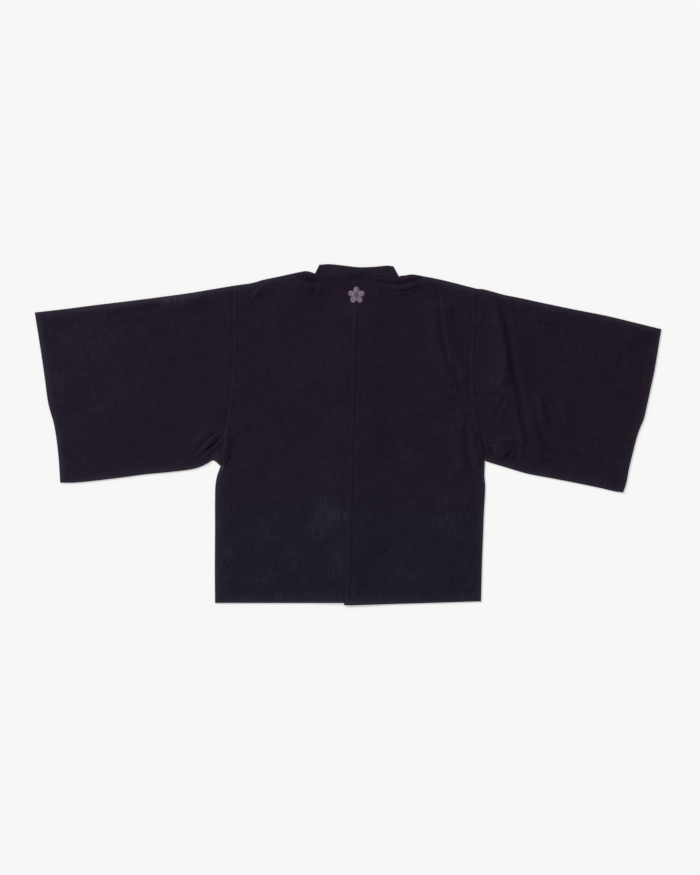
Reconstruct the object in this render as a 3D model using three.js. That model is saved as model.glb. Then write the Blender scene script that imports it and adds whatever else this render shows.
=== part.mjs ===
// A wide-sleeved tunic with a stand collar and a button front, laid flat on its front with its back uppermost.
// Millimetres. +X is to the right as the back is seen, +Y towards the collar, +Z up from the surface it lies on.
// The origin is the middle of its bounding box, on that surface. The wearer's left is at -X.
//
// Every piece of cloth is one closed wall. The lower layer is the fronts, the lower half of each sleeve and the front
// of the collar. The upper layer is the backs, the upper half of each sleeve and the back of the collar.
import * as THREE from "three";

// Thicknesses and gaps
const CLOTH = 1.2; // one layer of cloth
const COLLAR_CLOTH = 1.6; // the collar's two plies and interlining
const GAP = 0.3; // between pieces at a seam, and between layers that lie on each other
const UPPER = CLOTH + GAP; // height of the upper layer's underside where it lies on the lower one
const SLEEVE_EDGE = { outerNext: 1.3, innerEdge: 1.6, innerNext: 3 }; // from a sleeve's edge to its wall's next points

// Front opening: the left front laps under the right one as they lie, so it is outermost when the tunic is worn
const CENTRE_FRONT = { hemX: 2, hemY: -370, neckX: 17, neckY: 267.5 };
const LAP_PAST_CENTRE = { left: 15, right: -12 }; // where each front's edge lies, measured from the centre front
const LAP_LIFT = CLOTH + GAP; // the right front rides on the left one by this much
const LAP_RAMP = 20; // and comes down to the surface over this width
const OVER_FRONTS = { // how much wider and higher the backs' rise over the laps and buttons is than the fronts' own
  rightRamp: 30, rightFlat: 1, leftFlat: 2, leftFoot: 12, neckFlat: 4, neckFoot: 30, rise: 0.25, dishFlat: 4, dishFoot: 26,
};
const FRONT_HEM = { left: -368.5, right: -371 }; // at the front edges, just inside the back's hem

// Columns of each front's edge strip, measured from the centre front. They are shared where the fronts lap.
const STRIP_COLUMNS = { left: [-34, -23, -12, 0, 12, 15], right: [35, 25, 15, 12, 0, -12] };
const STRIP_ROOM = 5; // from the strip to the neck edge's next point

// Buttons, under the left front, which is dished over each of them
const BUTTON = {
  radius: 9, thickness: 2, count: 5, lowestY: -228, spacing: 115, holeRadius: 1, holeAt: 2, sides: 24, holeSides: 6,
};
const BUTTON_LIFT = BUTTON.thickness + GAP;
const BUTTON_DISH = { clear: 11, outer: 32, flat: 16.5, foot: 40 }; // half widths of its rows, radii of its flat and foot

// Outlines, in plan. Each table is one edge of the cut pieces as they lie, from the first point named to the last.
const SHOULDER_LEFT = [ // armhole to neck
  { x: -254, y: 327.5 }, { x: -233, y: 330.5 }, { x: -215, y: 333 }, { x: -202, y: 336 }, { x: -189, y: 340 },
  { x: -149, y: 348.5 }, { x: -105, y: 358 }, { x: -92, y: 360 }, { x: -81.5, y: 358 },
];
const SHOULDER_RIGHT = [ // armhole to neck
  { x: 283.5, y: 321 }, { x: 268, y: 325 }, { x: 235, y: 333.5 }, { x: 202, y: 341.5 }, { x: 169, y: 348 },
  { x: 141, y: 352.5 }, { x: 125, y: 350.5 }, { x: 117.5, y: 350 },
];
const CENTRE_BACK = [ // hem to neck; the right back's hem drops a little below the left one's
  { x: 5, y: -370 }, { x: 9.5, y: -230 }, { x: 13, y: -75 }, { x: 15.5, y: 20 }, { x: 18, y: 140 }, { x: 22, y: 248 },
  { x: 23, y: 343.55 },
];
const RIGHT_HEM_DROP = 5.3;
const SIDE_LEFT = [ // hem to armpit
  { x: -292.5, y: -370 }, { x: -293, y: -297 }, { x: -292.5, y: -209 }, { x: -292.5, y: -143 }, { x: -291.5, y: -110 },
  { x: -288.5, y: -92.5 }, { x: -280.5, y: -69 },
];
const SIDE_RIGHT = [ // hem to armpit
  { x: 292.5, y: -366.5 }, { x: 293.5, y: -330 }, { x: 295, y: -275 }, { x: 297, y: -222 }, { x: 299, y: -169 },
  { x: 301.5, y: -125 }, { x: 301.5, y: -108 }, { x: 300, y: -90 }, { x: 301, y: -57.5 },
];
const ARMHOLE_LEFT = [ // armpit to shoulder
  { x: -280.5, y: -69 }, { x: -278.5, y: -37.5 }, { x: -275, y: -11 }, { x: -271, y: 22 }, { x: -266, y: 55 },
  { x: -261, y: 88 }, { x: -257, y: 125 }, { x: -254.5, y: 187 }, { x: -254.5, y: 275 }, { x: -254, y: 327.5 },
];
const ARMHOLE_RIGHT = [ // armpit to shoulder
  { x: 301, y: -57.5 }, { x: 297.5, y: -31 }, { x: 292.5, y: -2 }, { x: 286.5, y: 33 }, { x: 282, y: 68 },
  { x: 279.5, y: 110 }, { x: 279, y: 165 }, { x: 280.5, y: 220 }, { x: 282, y: 275 }, { x: 283.5, y: 321 },
];
const SLEEVE_TOP_LEFT = [ // armhole to cuff
  { x: -254, y: 327.5 }, { x: -299, y: 320 }, { x: -347, y: 312 }, { x: -413, y: 303 }, { x: -479, y: 294.5 },
  { x: -550, y: 286 }, { x: -620, y: 277 }, { x: -689, y: 269 },
];
const SLEEVE_TOP_RIGHT = [ // armhole to cuff
  { x: 283.5, y: 321 }, { x: 295, y: 320.5 }, { x: 312, y: 316.5 }, { x: 343, y: 308 }, { x: 378, y: 301 },
  { x: 431, y: 289.5 }, { x: 501, y: 275 }, { x: 572, y: 261 }, { x: 642, y: 244 }, { x: 689, y: 232.5 },
];
const SLEEVE_BOTTOM_LEFT = [ // armpit to cuff
  { x: -280.5, y: -69 }, { x: -296.5, y: -56.5 }, { x: -308, y: -62.5 }, { x: -321, y: -69 }, { x: -339, y: -75 },
  { x: -391, y: -82 }, { x: -444, y: -87 }, { x: -497, y: -94 }, { x: -550, y: -100.5 }, { x: -603, y: -105.5 },
  { x: -633, y: -105.5 },
];
const SLEEVE_BOTTOM_RIGHT = [ // armpit to cuff
  { x: 301, y: -57.5 }, { x: 321, y: -64 }, { x: 343, y: -70.5 }, { x: 369, y: -78.5 }, { x: 396, y: -86 },
  { x: 449, y: -96 }, { x: 501, y: -106 }, { x: 554, y: -117 }, { x: 589, y: -125 }, { x: 605, y: -127 },
];
const CUFF_LEFT = [ // underarm to top
  { x: -633, y: -105.5 }, { x: -636, y: -57 }, { x: -639.5, y: -22 }, { x: -644, y: 9 }, { x: -648.5, y: 31 },
  { x: -654, y: 48.5 }, { x: -659.5, y: 70.5 }, { x: -666.5, y: 121 }, { x: -674, y: 174 }, { x: -689, y: 269 },
];
const CUFF_RIGHT = [ // underarm to top
  { x: 605, y: -127 }, { x: 611.5, y: -108 }, { x: 618.5, y: -72.5 }, { x: 627, y: -37.5 }, { x: 635.5, y: -4.5 },
  { x: 642.5, y: 15.5 }, { x: 650, y: 33 }, { x: 656.5, y: 59.5 }, { x: 666, y: 103.5 }, { x: 673.5, y: 138.5 },
  { x: 689, y: 232.5 },
];

// Stand collar: the band's two long edges. Its back half lies above, its front half below, turned over at each side.
const COLLAR_BACK = [ // left turn to right turn
  { seamX: -71.5, seamY: 353.2, topX: -61, topY: 374 }, { seamX: -50, seamY: 348.5, topX: -42, topY: 375.3 },
  { seamX: -17, seamY: 345.5, topX: -12, topY: 372.5 }, { seamX: 23, seamY: 343.9, topX: 24, topY: 368.5 },
  { seamX: 59, seamY: 342.6, topX: 58, topY: 369.5 }, { seamX: 92, seamY: 342.3, topX: 89, topY: 372 },
  { seamX: 110, seamY: 347.6, topX: 98, topY: 370.5 },
];
const COLLAR_FRONT_LEFT = [ // centre front to turn
  { seamX: 16.5, seamY: 270.5, topX: 16.5, topY: 297.5 }, { seamX: -15, seamY: 278.5, topX: -5, topY: 302 },
  { seamX: -41, seamY: 295.5, topX: -24, topY: 313 }, { seamX: -60, seamY: 318, topX: -37, topY: 329 },
  { seamX: -69.5, seamY: 337, topX: -45, topY: 345 }, { seamX: -71.5, seamY: 353.2, topX: -61, topY: 374 },
];
const COLLAR_FRONT_RIGHT = [ // centre front to turn
  { seamX: 17.5, seamY: 270.5, topX: 17.5, topY: 297.5 }, { seamX: 50, seamY: 277, topX: 42, topY: 301 },
  { seamX: 78.5, seamY: 292.5, topX: 61, topY: 311 }, { seamX: 97, seamY: 312, topX: 74, topY: 326 },
  { seamX: 107.5, seamY: 331, topX: 83, topY: 341 }, { seamX: 110, seamY: 347.6, topX: 98, topY: 370.5 },
];

const SEAM_CLEAR = GAP + 0.05; // between the panels' neck edges and the collar
const TURN_CLEAR = 1.3; // and at the collar's turns

// The largest folds of the upper layer: soft ridges along a line, with their rise and half width
const FOLDS = [
  { from: { x: 322, y: 262 }, over: { x: 342, y: 190 }, to: { x: 344, y: 100 }, rise: 6, half: 15 }, // right sleeve
  { from: { x: 366, y: 232 }, over: { x: 380, y: 140 }, to: { x: 402, y: 40 }, rise: 4.5, half: 12 }, // its long one
  { from: { x: 398, y: 60 }, over: { x: 412, y: 0 }, to: { x: 424, y: -45 }, rise: 3.5, half: 12 }, // its lower one
  { from: { x: 418, y: 98 }, over: { x: 425, y: 60 }, to: { x: 434, y: 15 }, rise: 3.5, half: 11 }, // its middle
  { from: { x: 468, y: 90 }, over: { x: 475, y: 50 }, to: { x: 482, y: 5 }, rise: 2.5, half: 13 }, // its outer one
  { from: { x: 318, y: -30 }, over: { x: 336, y: -34 }, to: { x: 352, y: -48 }, rise: 6, half: 15 }, // right underarm
  { from: { x: 274, y: 20 }, over: { x: 283, y: -30 }, to: { x: 290, y: -78 }, rise: 3.5, half: 10 }, // right armpit
  { from: { x: 246, y: 30 }, over: { x: 246, y: -30 }, to: { x: 254, y: -90 }, rise: 3, half: 13 }, // beside it
  { from: { x: 216, y: 300 }, over: { x: 226, y: 209 }, to: { x: 264, y: 105 }, rise: 4, half: 13 }, // right back, long
  { from: { x: 184, y: 296 }, over: { x: 196, y: 200 }, to: { x: 232, y: 100 }, rise: 4, half: 13 }, // right back, inner
  { from: { x: 108, y: 325 }, over: { x: 130, y: 326 }, to: { x: 158, y: 335 }, rise: 3, half: 9 }, // right of the neck
  { from: { x: -287, y: -2 }, over: { x: -306, y: -22 }, to: { x: -324, y: -42 }, rise: 4, half: 9 }, // left underarm
  { from: { x: -298, y: 14 }, over: { x: -321, y: -6 }, to: { x: -338, y: -27 }, rise: 3, half: 12 }, // beside it
  { from: { x: -262, y: 12 }, over: { x: -268, y: -30 }, to: { x: -281, y: -72 }, rise: 5, half: 11 }, // left armpit
  { from: { x: -98, y: 328 }, over: { x: -76, y: 318 }, to: { x: -62, y: 304 }, rise: 3.5, half: 10 }, // left of the neck
  { from: { x: -305, y: 308 }, over: { x: -355, y: 301 }, to: { x: -410, y: 292 }, rise: 4, half: 17 }, // left sleeve top
  { from: { x: -180, y: 322 }, over: { x: -200, y: 308 }, to: { x: -216, y: 292 }, rise: 2, half: 9 }, // left shoulder
];
const FOLD_END = { length: 30, share: 0.25 }; // a fold dies away to this share over this length
const FOLD_REACH = 3; // how many half widths from its line a fold reaches
const PUFF = 1; // the upper layer's rise off the lower one, away from the edges
const PUFF_WAVES = [ // slow waves in that rise
  { height: 0.5, acrossLength: 190, alongLength: 260, turn: 0.4 },
  { height: 0.35, acrossLength: 120, alongLength: 95, turn: 2.1 },
];
const EDGE_FADE = 14; // distance from the outline over which the upper layer comes down to the lower one
const NECK_LIFT = { x: 18, y: 325, halfWidth: 100, halfHeight: 62, flat: 1.05, foot: 1.5, rise: 0.45 }; // over the collar's front half

// Embroidered flower below the collar, over the centre back seam
const FLOWER = {
  x: 18.5, y: 306.5, radius: 19, waist: 8.5, petals: 5, thick: 0.8, clear: 0.35, petalSpokes: 8, roundness: 0.7,
};

// How finely the pieces are divided
const ARMHOLE_STEPS = 13;
const SIDE_STEPS = 12;
const BACK_SHOULDER_STEPS = 8;
const FRONT_SHOULDER_STEPS = 3;
const SLEEVE_STEPS = 17;
const CURVE_STEPS = 8; // for a fold's line and the outline, between two table rows

const CLOTH_COLOUR = 0x1f1b24;
const THREAD_COLOUR = 0x756377;
const BUTTON_COLOUR = 0x17151a;

const smoothstep = THREE.MathUtils.smoothstep;
const even = (n) => Array.from({ length: n + 1 }, (_, i) => i / n);

// A smooth curve through a table's rows, as a function of the share of its length, from 0 to 1
function curve(rows, shift = { x: 0, y: 0 }) {
  const points = rows.map((row) => new THREE.Vector3(row.x + shift.x, row.y + shift.y, 0));
  const line = new THREE.CatmullRomCurve3(points, false, "centripetal");
  return (t) => line.getPointAt(THREE.MathUtils.clamp(t, 0, 1));
}

// A line through points, a step for each
const polyline = (points) => (t) => {
  const place = THREE.MathUtils.clamp(t, 0, 1) * (points.length - 1);
  const i = Math.min(Math.floor(place), points.length - 2);
  return points[i].clone().lerp(points[i + 1], place - i);
};

// Two curves end to end, with the first in the first half of 0 to 1 and the second in the other half
const joined = (first, second) => (t) => (t <= 0.5 ? first(2 * t) : second(2 * t - 1));

// Shares along a joined curve: even steps in each half
const joinedSteps = (n, m) => [...even(n).map((t) => t / 2), ...even(m).slice(1).map((t) => 0.5 + t / 2)];

// The patch between four edges: low and high run across it, near and far run up it
function patch(low, high, near, far) {
  const corner = { a: low(0), b: low(1), c: high(0), d: high(1) };
  return (u, v) => {
    const across = low(u).lerp(high(u), v);
    const up = near(v).lerp(far(v), u);
    const flat = corner.a.clone().lerp(corner.b, u).lerp(corner.c.clone().lerp(corner.d, u), v);
    return across.add(up).sub(flat);
  };
}

// Distance from a point to a line of points, and how far along the line its foot is
function distanceTo(line, x, y) {
  let best = Infinity;
  let along = 0;
  let start = 0;
  for (let i = 1; i < line.length; i++) {
    const a = line[i - 1];
    const b = line[i];
    const length = Math.hypot(b.x - a.x, b.y - a.y);
    const share = ((x - a.x) * (b.x - a.x) + (y - a.y) * (b.y - a.y)) / (length * length);
    const t = THREE.MathUtils.clamp(share, 0, 1);
    const away = Math.hypot(x - a.x - t * (b.x - a.x), y - a.y - t * (b.y - a.y));
    if (away < best) {
      best = away;
      along = start + t * length;
    }
    start += length;
  }
  return { away: best, along, length: start };
}

// ---- The collar's seam, and the panels' edges along it

// A collar table's rows, and one between each two
function bandRows(rows) {
  const through = (x, y) => new THREE.CatmullRomCurve3(rows.map((r) => new THREE.Vector3(r[x], r[y], 0)));
  const seam = through("seamX", "seamY");
  const top = through("topX", "topY");
  return even(2 * (rows.length - 1)).map((t) => {
    const [s, p] = [seam.getPoint(t), top.getPoint(t)];
    return { seamX: s.x, seamY: s.y, topX: p.x, topY: p.y };
  });
}

// The seam's points moved off the band, from a turn inwards. The turn is rounder, so it needs more.
function neckEdge(rows) {
  return rows.map((row, i) => {
    const seam = new THREE.Vector3(row.seamX, row.seamY, 0);
    const out = seam.clone().sub(new THREE.Vector3(row.topX, row.topY, 0)).normalize();
    return seam.addScaledVector(out, i === 0 ? TURN_CLEAR : SEAM_CLEAR);
  });
}

const backBand = bandRows(COLLAR_BACK);
const middle = (backBand.length - 1) / 2;
const NECK = {
  backLeft: neckEdge(backBand.slice(0, middle + 1)),
  backRight: neckEdge(backBand.slice(middle).reverse()),
  frontLeft: neckEdge(bandRows(COLLAR_FRONT_LEFT).reverse()),
  frontRight: neckEdge(bandRows(COLLAR_FRONT_RIGHT).reverse()),
};

// Height in plan of the fronts' neck edge at x
function neckY(x) {
  const points = [...NECK.frontLeft, ...NECK.frontRight.toReversed()];
  const i = points.findIndex((p, k) => k > 0 && p.x >= x);
  return THREE.MathUtils.mapLinear(x, points[i - 1].x, points[i].x, points[i - 1].y, points[i].y) - GAP;
}

// ---- Heights of the layers

const centreFrontX = (y) =>
  THREE.MathUtils.mapLinear(y, CENTRE_FRONT.hemY, CENTRE_FRONT.neckY, CENTRE_FRONT.hemX, CENTRE_FRONT.neckX);
const buttonCentres = Array.from({ length: BUTTON.count }, (_, i) => {
  const y = BUTTON.lowestY + i * BUTTON.spacing;
  return { x: centreFrontX(y), y };
});

// Rise over the nearest button: flat over it, down to nothing at the foot
function buttonRise(x, y, rise, flat, foot) {
  const away = Math.min(...buttonCentres.map((b) => Math.hypot(x - b.x, y - b.y)));
  return rise * (1 - smoothstep(away, flat, foot));
}
const dishRise = (x, y) => buttonRise(x, y, BUTTON_LIFT, BUTTON_DISH.flat, BUTTON_DISH.foot);

// The right front rides up on the left one's edge
function lapRise(x, y) {
  const past = x - centreFrontX(y);
  return LAP_LIFT * (1 - smoothstep(past, LAP_PAST_CENTRE.left, LAP_PAST_CENTRE.left + LAP_RAMP));
}

// The backs ride over both fronts' edges and over the buttons
function frontRise(x, y) {
  const { left, right } = LAP_PAST_CENTRE;
  const over = OVER_FRONTS;
  const past = x - centreFrontX(y);
  const rising = smoothstep(past, right - over.rightRamp, right - over.rightFlat);
  const falling = 1 - smoothstep(past, left + over.leftFlat, left + LAP_RAMP + over.leftFoot);
  const belowNeck = 1 - smoothstep(y, CENTRE_FRONT.neckY + over.neckFlat, CENTRE_FRONT.neckY + over.neckFoot);
  const bump = buttonRise(
    x, y, BUTTON_LIFT + over.rise, BUTTON_DISH.flat + over.dishFlat, BUTTON_DISH.foot + over.dishFoot);
  return ((LAP_LIFT + over.rise) * rising * falling + bump) * belowNeck;
}

function neckRise(x, y) {
  const far = Math.hypot((x - NECK_LIFT.x) / NECK_LIFT.halfWidth, (y - NECK_LIFT.y) / NECK_LIFT.halfHeight);
  return NECK_LIFT.rise * (1 - smoothstep(far, NECK_LIFT.flat, NECK_LIFT.foot));
}

const foldLines = FOLDS.map((fold) => {
  const line = curve([fold.from, fold.over, fold.to]);
  return { ...fold, line: even(CURVE_STEPS).map(line) };
});

function foldRise(x, y) {
  let rise = 0;
  for (const fold of foldLines) {
    const { away, along, length } = distanceTo(fold.line, x, y);
    if (away > FOLD_REACH * fold.half) continue;
    const end = Math.min(FOLD_END.length, length / 3);
    const taper = FOLD_END.share + (1 - FOLD_END.share) * smoothstep(Math.min(along, length - along), 0, end);
    rise += fold.rise * taper * Math.exp(-((away / fold.half) ** 2));
  }
  return rise;
}

const outline = [
  SIDE_LEFT, SLEEVE_BOTTOM_LEFT, CUFF_LEFT, SLEEVE_TOP_LEFT.toReversed(), SHOULDER_LEFT, NECK.backLeft,
  NECK.backRight.toReversed(), SHOULDER_RIGHT.toReversed(), SLEEVE_TOP_RIGHT, CUFF_RIGHT.toReversed(),
  SLEEVE_BOTTOM_RIGHT.toReversed(), SIDE_RIGHT.toReversed(), [SIDE_RIGHT[0], SIDE_LEFT[0]],
].flat();

// How far the upper layer's underside lies above UPPER
function upperRise(x, y) {
  const fade = smoothstep(distanceTo(outline, x, y).away, 0, EDGE_FADE);
  const waves = PUFF_WAVES.map((w) =>
    w.height * Math.sin((2 * Math.PI * x) / w.acrossLength + w.turn) * Math.cos((2 * Math.PI * y) / w.alongLength));
  const puff = PUFF + waves.reduce((a, b) => a + b, 0);
  return frontRise(x, y) + neckRise(x, y) + fade * (puff + foldRise(x, y));
}

// ---- Closed walls

// A geometry from points and triangles, turned right side out
function solid(points, faces) {
  const volume = faces.reduce((sum, [a, b, c]) => sum + points[a].dot(points[b].clone().cross(points[c])), 0);
  const outward = volume > 0 ? faces : faces.map(([a, b, c]) => [a, c, b]);
  const geometry = new THREE.BufferGeometry().setFromPoints(points);
  geometry.setIndex(outward.flat());
  geometry.computeVertexNormals();
  return geometry;
}

const quad = (a, b, c, d) => [[a, b, c], [a, c, d]];

// A sheet of cloth: a grid of plan points, with the heights of its underside and its outer side
function sheet(plan, underside) {
  const grid = plan[0][0].x < plan[0].at(-1).x ? plan : plan.map((row) => row.toReversed());
  const rows = grid.length;
  const columns = grid[0].length;
  const points = [];
  for (const rise of [0, CLOTH])
    for (const p of grid.flat()) points.push(new THREE.Vector3(p.x, p.y, underside(p.x, p.y) + rise));
  const at = (side, i, j) => (side * rows + i) * columns + j;
  const faces = [];
  for (let i = 1; i < rows; i++)
    for (let j = 1; j < columns; j++) {
      faces.push(...quad(at(1, i - 1, j - 1), at(1, i - 1, j), at(1, i, j), at(1, i, j - 1)));
      faces.push(...quad(at(0, i - 1, j - 1), at(0, i, j - 1), at(0, i, j), at(0, i - 1, j)));
    }
  const rim = [];
  for (let j = 0; j < columns - 1; j++) rim.push([0, j]);
  for (let i = 0; i < rows - 1; i++) rim.push([i, columns - 1]);
  for (let j = columns - 1; j > 0; j--) rim.push([rows - 1, j]);
  for (let i = rows - 1; i > 0; i--) rim.push([i, 0]);
  rim.forEach(([i, j], k) => {
    const [m, n] = rim[(k + 1) % rim.length];
    faces.push(...quad(at(0, i, j), at(0, m, n), at(1, m, n), at(1, i, j)));
  });
  return solid(points, faces);
}

// A tube through rings of points, with an inner ring for each outer one, open at both ends
function tube(outerRings, innerRings) {
  const around = outerRings[0].length;
  const points = [...outerRings.flat(), ...innerRings.flat()];
  const inside = outerRings.length * around;
  const at = (ring, k) => ring * around + (k % around);
  const last = outerRings.length - 1;
  const faces = [];
  for (let k = 0; k < around; k++) {
    for (let r = 0; r < last; r++) {
      const corners = [at(r, k), at(r + 1, k), at(r + 1, k + 1), at(r, k + 1)];
      faces.push(...quad(...corners));
      faces.push(...quad(...corners.map((c) => c + inside).reverse()));
    }
    faces.push(...quad(at(0, k), at(0, k + 1), inside + at(0, k + 1), inside + at(0, k)));
    faces.push(...quad(at(last, k + 1), at(last, k), inside + at(last, k), inside + at(last, k + 1)));
  }
  return solid(points, faces);
}

function piece(name, geometry, colour, roughness = 0.9) {
  const mesh = new THREE.Mesh(geometry, new THREE.MeshStandardMaterial({ color: colour, roughness, metalness: 0 }));
  mesh.name = name;
  return mesh;
}

// ---- Body

// The sides' names, tables and directions. inward is the sign of X from the side towards the centre.
const HALVES = {
  left: {
    inward: 1, shoulder: SHOULDER_LEFT, backNeck: NECK.backLeft, frontNeck: NECK.frontLeft, side: SIDE_LEFT,
    armhole: ARMHOLE_LEFT, sleeveTop: SLEEVE_TOP_LEFT, sleeveBottom: SLEEVE_BOTTOM_LEFT, cuff: CUFF_LEFT,
  },
  right: {
    inward: -1, shoulder: SHOULDER_RIGHT, backNeck: NECK.backRight, frontNeck: NECK.frontRight, side: SIDE_RIGHT,
    armhole: ARMHOLE_RIGHT, sleeveTop: SLEEVE_TOP_RIGHT, sleeveBottom: SLEEVE_BOTTOM_RIGHT, cuff: CUFF_RIGHT,
  },
};
const bodyRows = joinedSteps(SIDE_STEPS, ARMHOLE_STEPS);

// The body's outer edge: side seam, then armhole. It and the shoulder lie half a gap inside their tables.
const insideBy = (half) => ({ x: (half.inward * GAP) / 2, y: 0 });
const bodyEdge = (half) => joined(curve(half.side, insideBy(half)), curve(half.armhole, insideBy(half)));

// The body's top edge: shoulder, then neck. The neck's points follow the shoulder's end.
function topEdge(half, neck) {
  const shoulder = curve(half.shoulder, insideBy(half));
  return joined(shoulder, polyline([shoulder(1), ...neck]));
}

function back(half) {
  const drop = half.inward < 0 ? RIGHT_HEM_DROP : 0;
  const rows = CENTRE_BACK.map((row, i) => ({ x: row.x, y: row.y - (i === 0 ? drop : 0) }));
  const centre = curve(rows, { x: (-half.inward * GAP) / 2, y: 0 });
  const edge = bodyEdge(half);
  const neck = [...half.backNeck.slice(0, -1), centre(1)];
  const surface = patch(polyline([edge(0), centre(0)]), topEdge(half, neck), edge, centre);
  const columns = joinedSteps(BACK_SHOULDER_STEPS, neck.length);
  const grid = bodyRows.map((v) => columns.map((u) => surface(u, v)));
  return sheet(grid, (x, y) => UPPER + upperRise(x, y));
}

// Rows of a front's edge strip, closest round the buttons. The strips share them, so that the fronts lie on each other.
function stripRows(hemY) {
  const { clear, outer } = BUTTON_DISH;
  const steps = [-BUTTON.spacing / 2, -outer, -clear, clear, outer];
  const rows = buttonCentres.flatMap((b) => steps.map((step) => b.y + step));
  return [hemY, ...rows.slice(0, -1)];
}

// A front: a patch from its outer edge to the strip, then the strip, with its columns given from the centre front
function front(half, hemY, stripColumns, underside) {
  const rows = stripRows(hemY);
  const stripPoint = (past, j) => {
    const y = j < rows.length ? rows[j] : neckY(CENTRE_FRONT.neckX + past);
    return new THREE.Vector3(centreFrontX(Math.min(y, CENTRE_FRONT.neckY)) + past, y, 0);
  };
  const last = rows.length;
  const edge = bodyEdge(half);
  const corner = stripPoint(stripColumns[0], last);
  const neck = [...half.frontNeck.filter((p) => (corner.x - p.x) * half.inward > STRIP_ROOM), corner];
  const strip = polyline([...rows, 0].map((_, j) => stripPoint(stripColumns[0], j)));
  const outer = polyline(bodyRows.map(edge));
  const surface = patch(polyline([outer(0), strip(0)]), topEdge(half, neck), outer, strip);
  const columns = joinedSteps(FRONT_SHOULDER_STEPS, neck.length);
  const grid = even(last).map((v, j) => [
    ...columns.map((u) => surface(u, v)),
    ...stripColumns.slice(1).map((past) => stripPoint(past, j)),
  ]);
  return sheet(grid, underside);
}

// ---- Sleeves: one cut folded at the top and closed along the underarm, so a flat tube

function sleeve(half) {
  const shift = { x: (-half.inward * GAP) / 2, y: 0 };
  const armhole = curve(half.armhole, shift);
  const low = curve([{ x: armhole(0).x, y: armhole(0).y }, ...half.sleeveBottom.slice(1)]);
  const high = curve([{ x: armhole(1).x, y: armhole(1).y }, ...half.sleeveTop.slice(1)]);
  const surface = patch(low, high, armhole, curve(half.cuff));
  const edgeZ = (UPPER + CLOTH) / 2;
  const rows = even(ARMHOLE_STEPS).slice(1, -1);
  const rings = (edgeInset, nextInset, upperZ, lowerZ) =>
    even(SLEEVE_STEPS).map((u) => {
      const height = surface(u, 0).distanceTo(surface(u, 1));
      const edge = edgeInset / height;
      const next = nextInset / height;
      const layer = [next, ...rows, 1 - next];
      const place = (v, z) => {
        const p = surface(u, v);
        return new THREE.Vector3(p.x, p.y, z(p.x, p.y));
      };
      return [
        place(edge, () => edgeZ),
        ...layer.map((v) => place(v, upperZ)),
        place(1 - edge, () => edgeZ),
        ...layer.toReversed().map((v) => place(v, lowerZ)),
      ];
    });
  const { outerNext, innerEdge, innerNext } = SLEEVE_EDGE;
  const outer = rings(0, outerNext, (x, y) => UPPER + CLOTH + upperRise(x, y), () => 0);
  const inner = rings(innerEdge, innerNext, (x, y) => UPPER + upperRise(x, y), () => CLOTH);
  return tube(outer, inner);
}

// ---- Collar: one band, from the left end at the centre front, round the back, to the right end

function collar() {
  const lowerZ = COLLAR_CLOTH / 2;
  const upperZ = lowerZ + COLLAR_CLOTH + GAP;
  const turnRadius = (upperZ - lowerZ) / 2;
  const sections = [];
  const section = (row, z, normal) => {
    const out = normal.clone().multiplyScalar(COLLAR_CLOTH / 2);
    const seam = new THREE.Vector3(row.seamX, row.seamY, z);
    const top = new THREE.Vector3(row.topX, row.topY, z);
    return [seam.clone().add(out), top.clone().add(out), top.clone().sub(out), seam.clone().sub(out)];
  };
  const flat = (rows, z, up) => {
    for (const row of rows) sections.push(section(row, z, new THREE.Vector3(0, 0, up)));
  };
  const turn = (row, outward, angles) => {
    const along = new THREE.Vector3(row.topX - row.seamX, row.topY - row.seamY, 0).normalize();
    const side = new THREE.Vector3(along.y, -along.x, 0).multiplyScalar(outward);
    for (const angle of angles) {
      const normal = side.clone().multiplyScalar(Math.cos(angle)).add(new THREE.Vector3(0, 0, Math.sin(angle)));
      const away = turnRadius * Math.cos(angle);
      const moved = {
        seamX: row.seamX + side.x * away, seamY: row.seamY + side.y * away,
        topX: row.topX + side.x * away, topY: row.topY + side.y * away,
      };
      sections.push(section(moved, (lowerZ + upperZ) / 2 + turnRadius * Math.sin(angle), normal));
    }
  };
  const angles = [-Math.PI / 4, 0, Math.PI / 4];
  flat(bandRows(COLLAR_FRONT_LEFT), lowerZ, -1);
  turn(COLLAR_BACK[0], -1, angles);
  flat(backBand, upperZ, 1);
  turn(COLLAR_BACK.at(-1), 1, angles.toReversed());
  flat(bandRows(COLLAR_FRONT_RIGHT).reverse(), lowerZ, -1);

  const faces = [...quad(0, 1, 2, 3), ...quad(3, 2, 1, 0).map((f) => f.map((k) => k + 4 * (sections.length - 1)))];
  for (let i = 1; i < sections.length; i++)
    for (let k = 0; k < 4; k++) {
      const a = 4 * (i - 1);
      const b = 4 * i;
      const next = (k + 1) % 4;
      faces.push(...quad(a + next, a + k, b + k, b + next));
    }
  return solid(sections.flat(), faces);
}

// ---- Buttons and embroidery

function button() {
  const circle = (radius, sides, x, y) =>
    even(sides).slice(1).map((t) => 2 * Math.PI * t).map((angle) =>
      new THREE.Vector2(x + radius * Math.cos(angle), y + radius * Math.sin(angle)));
  const shape = new THREE.Shape(circle(BUTTON.radius, BUTTON.sides, 0, 0));
  for (const x of [-BUTTON.holeAt, BUTTON.holeAt])
    for (const y of [-BUTTON.holeAt, BUTTON.holeAt])
      shape.holes.push(new THREE.Path(circle(BUTTON.holeRadius, BUTTON.holeSides, x, y)));
  return new THREE.ExtrudeGeometry(shape, { depth: BUTTON.thickness, bevelEnabled: false });
}

// Height of a point on the meshes' upper side, or of the nearest one sideways where a seam's gap lies under it
function heightOn(meshes, x, y) {
  const above = (aside) => new THREE.Raycaster(new THREE.Vector3(x + aside, y, 100), new THREE.Vector3(0, 0, -1));
  const hits = [0, GAP, -GAP].flatMap((aside) => above(aside).intersectObjects(meshes));
  return hits[0].point.z;
}

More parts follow.
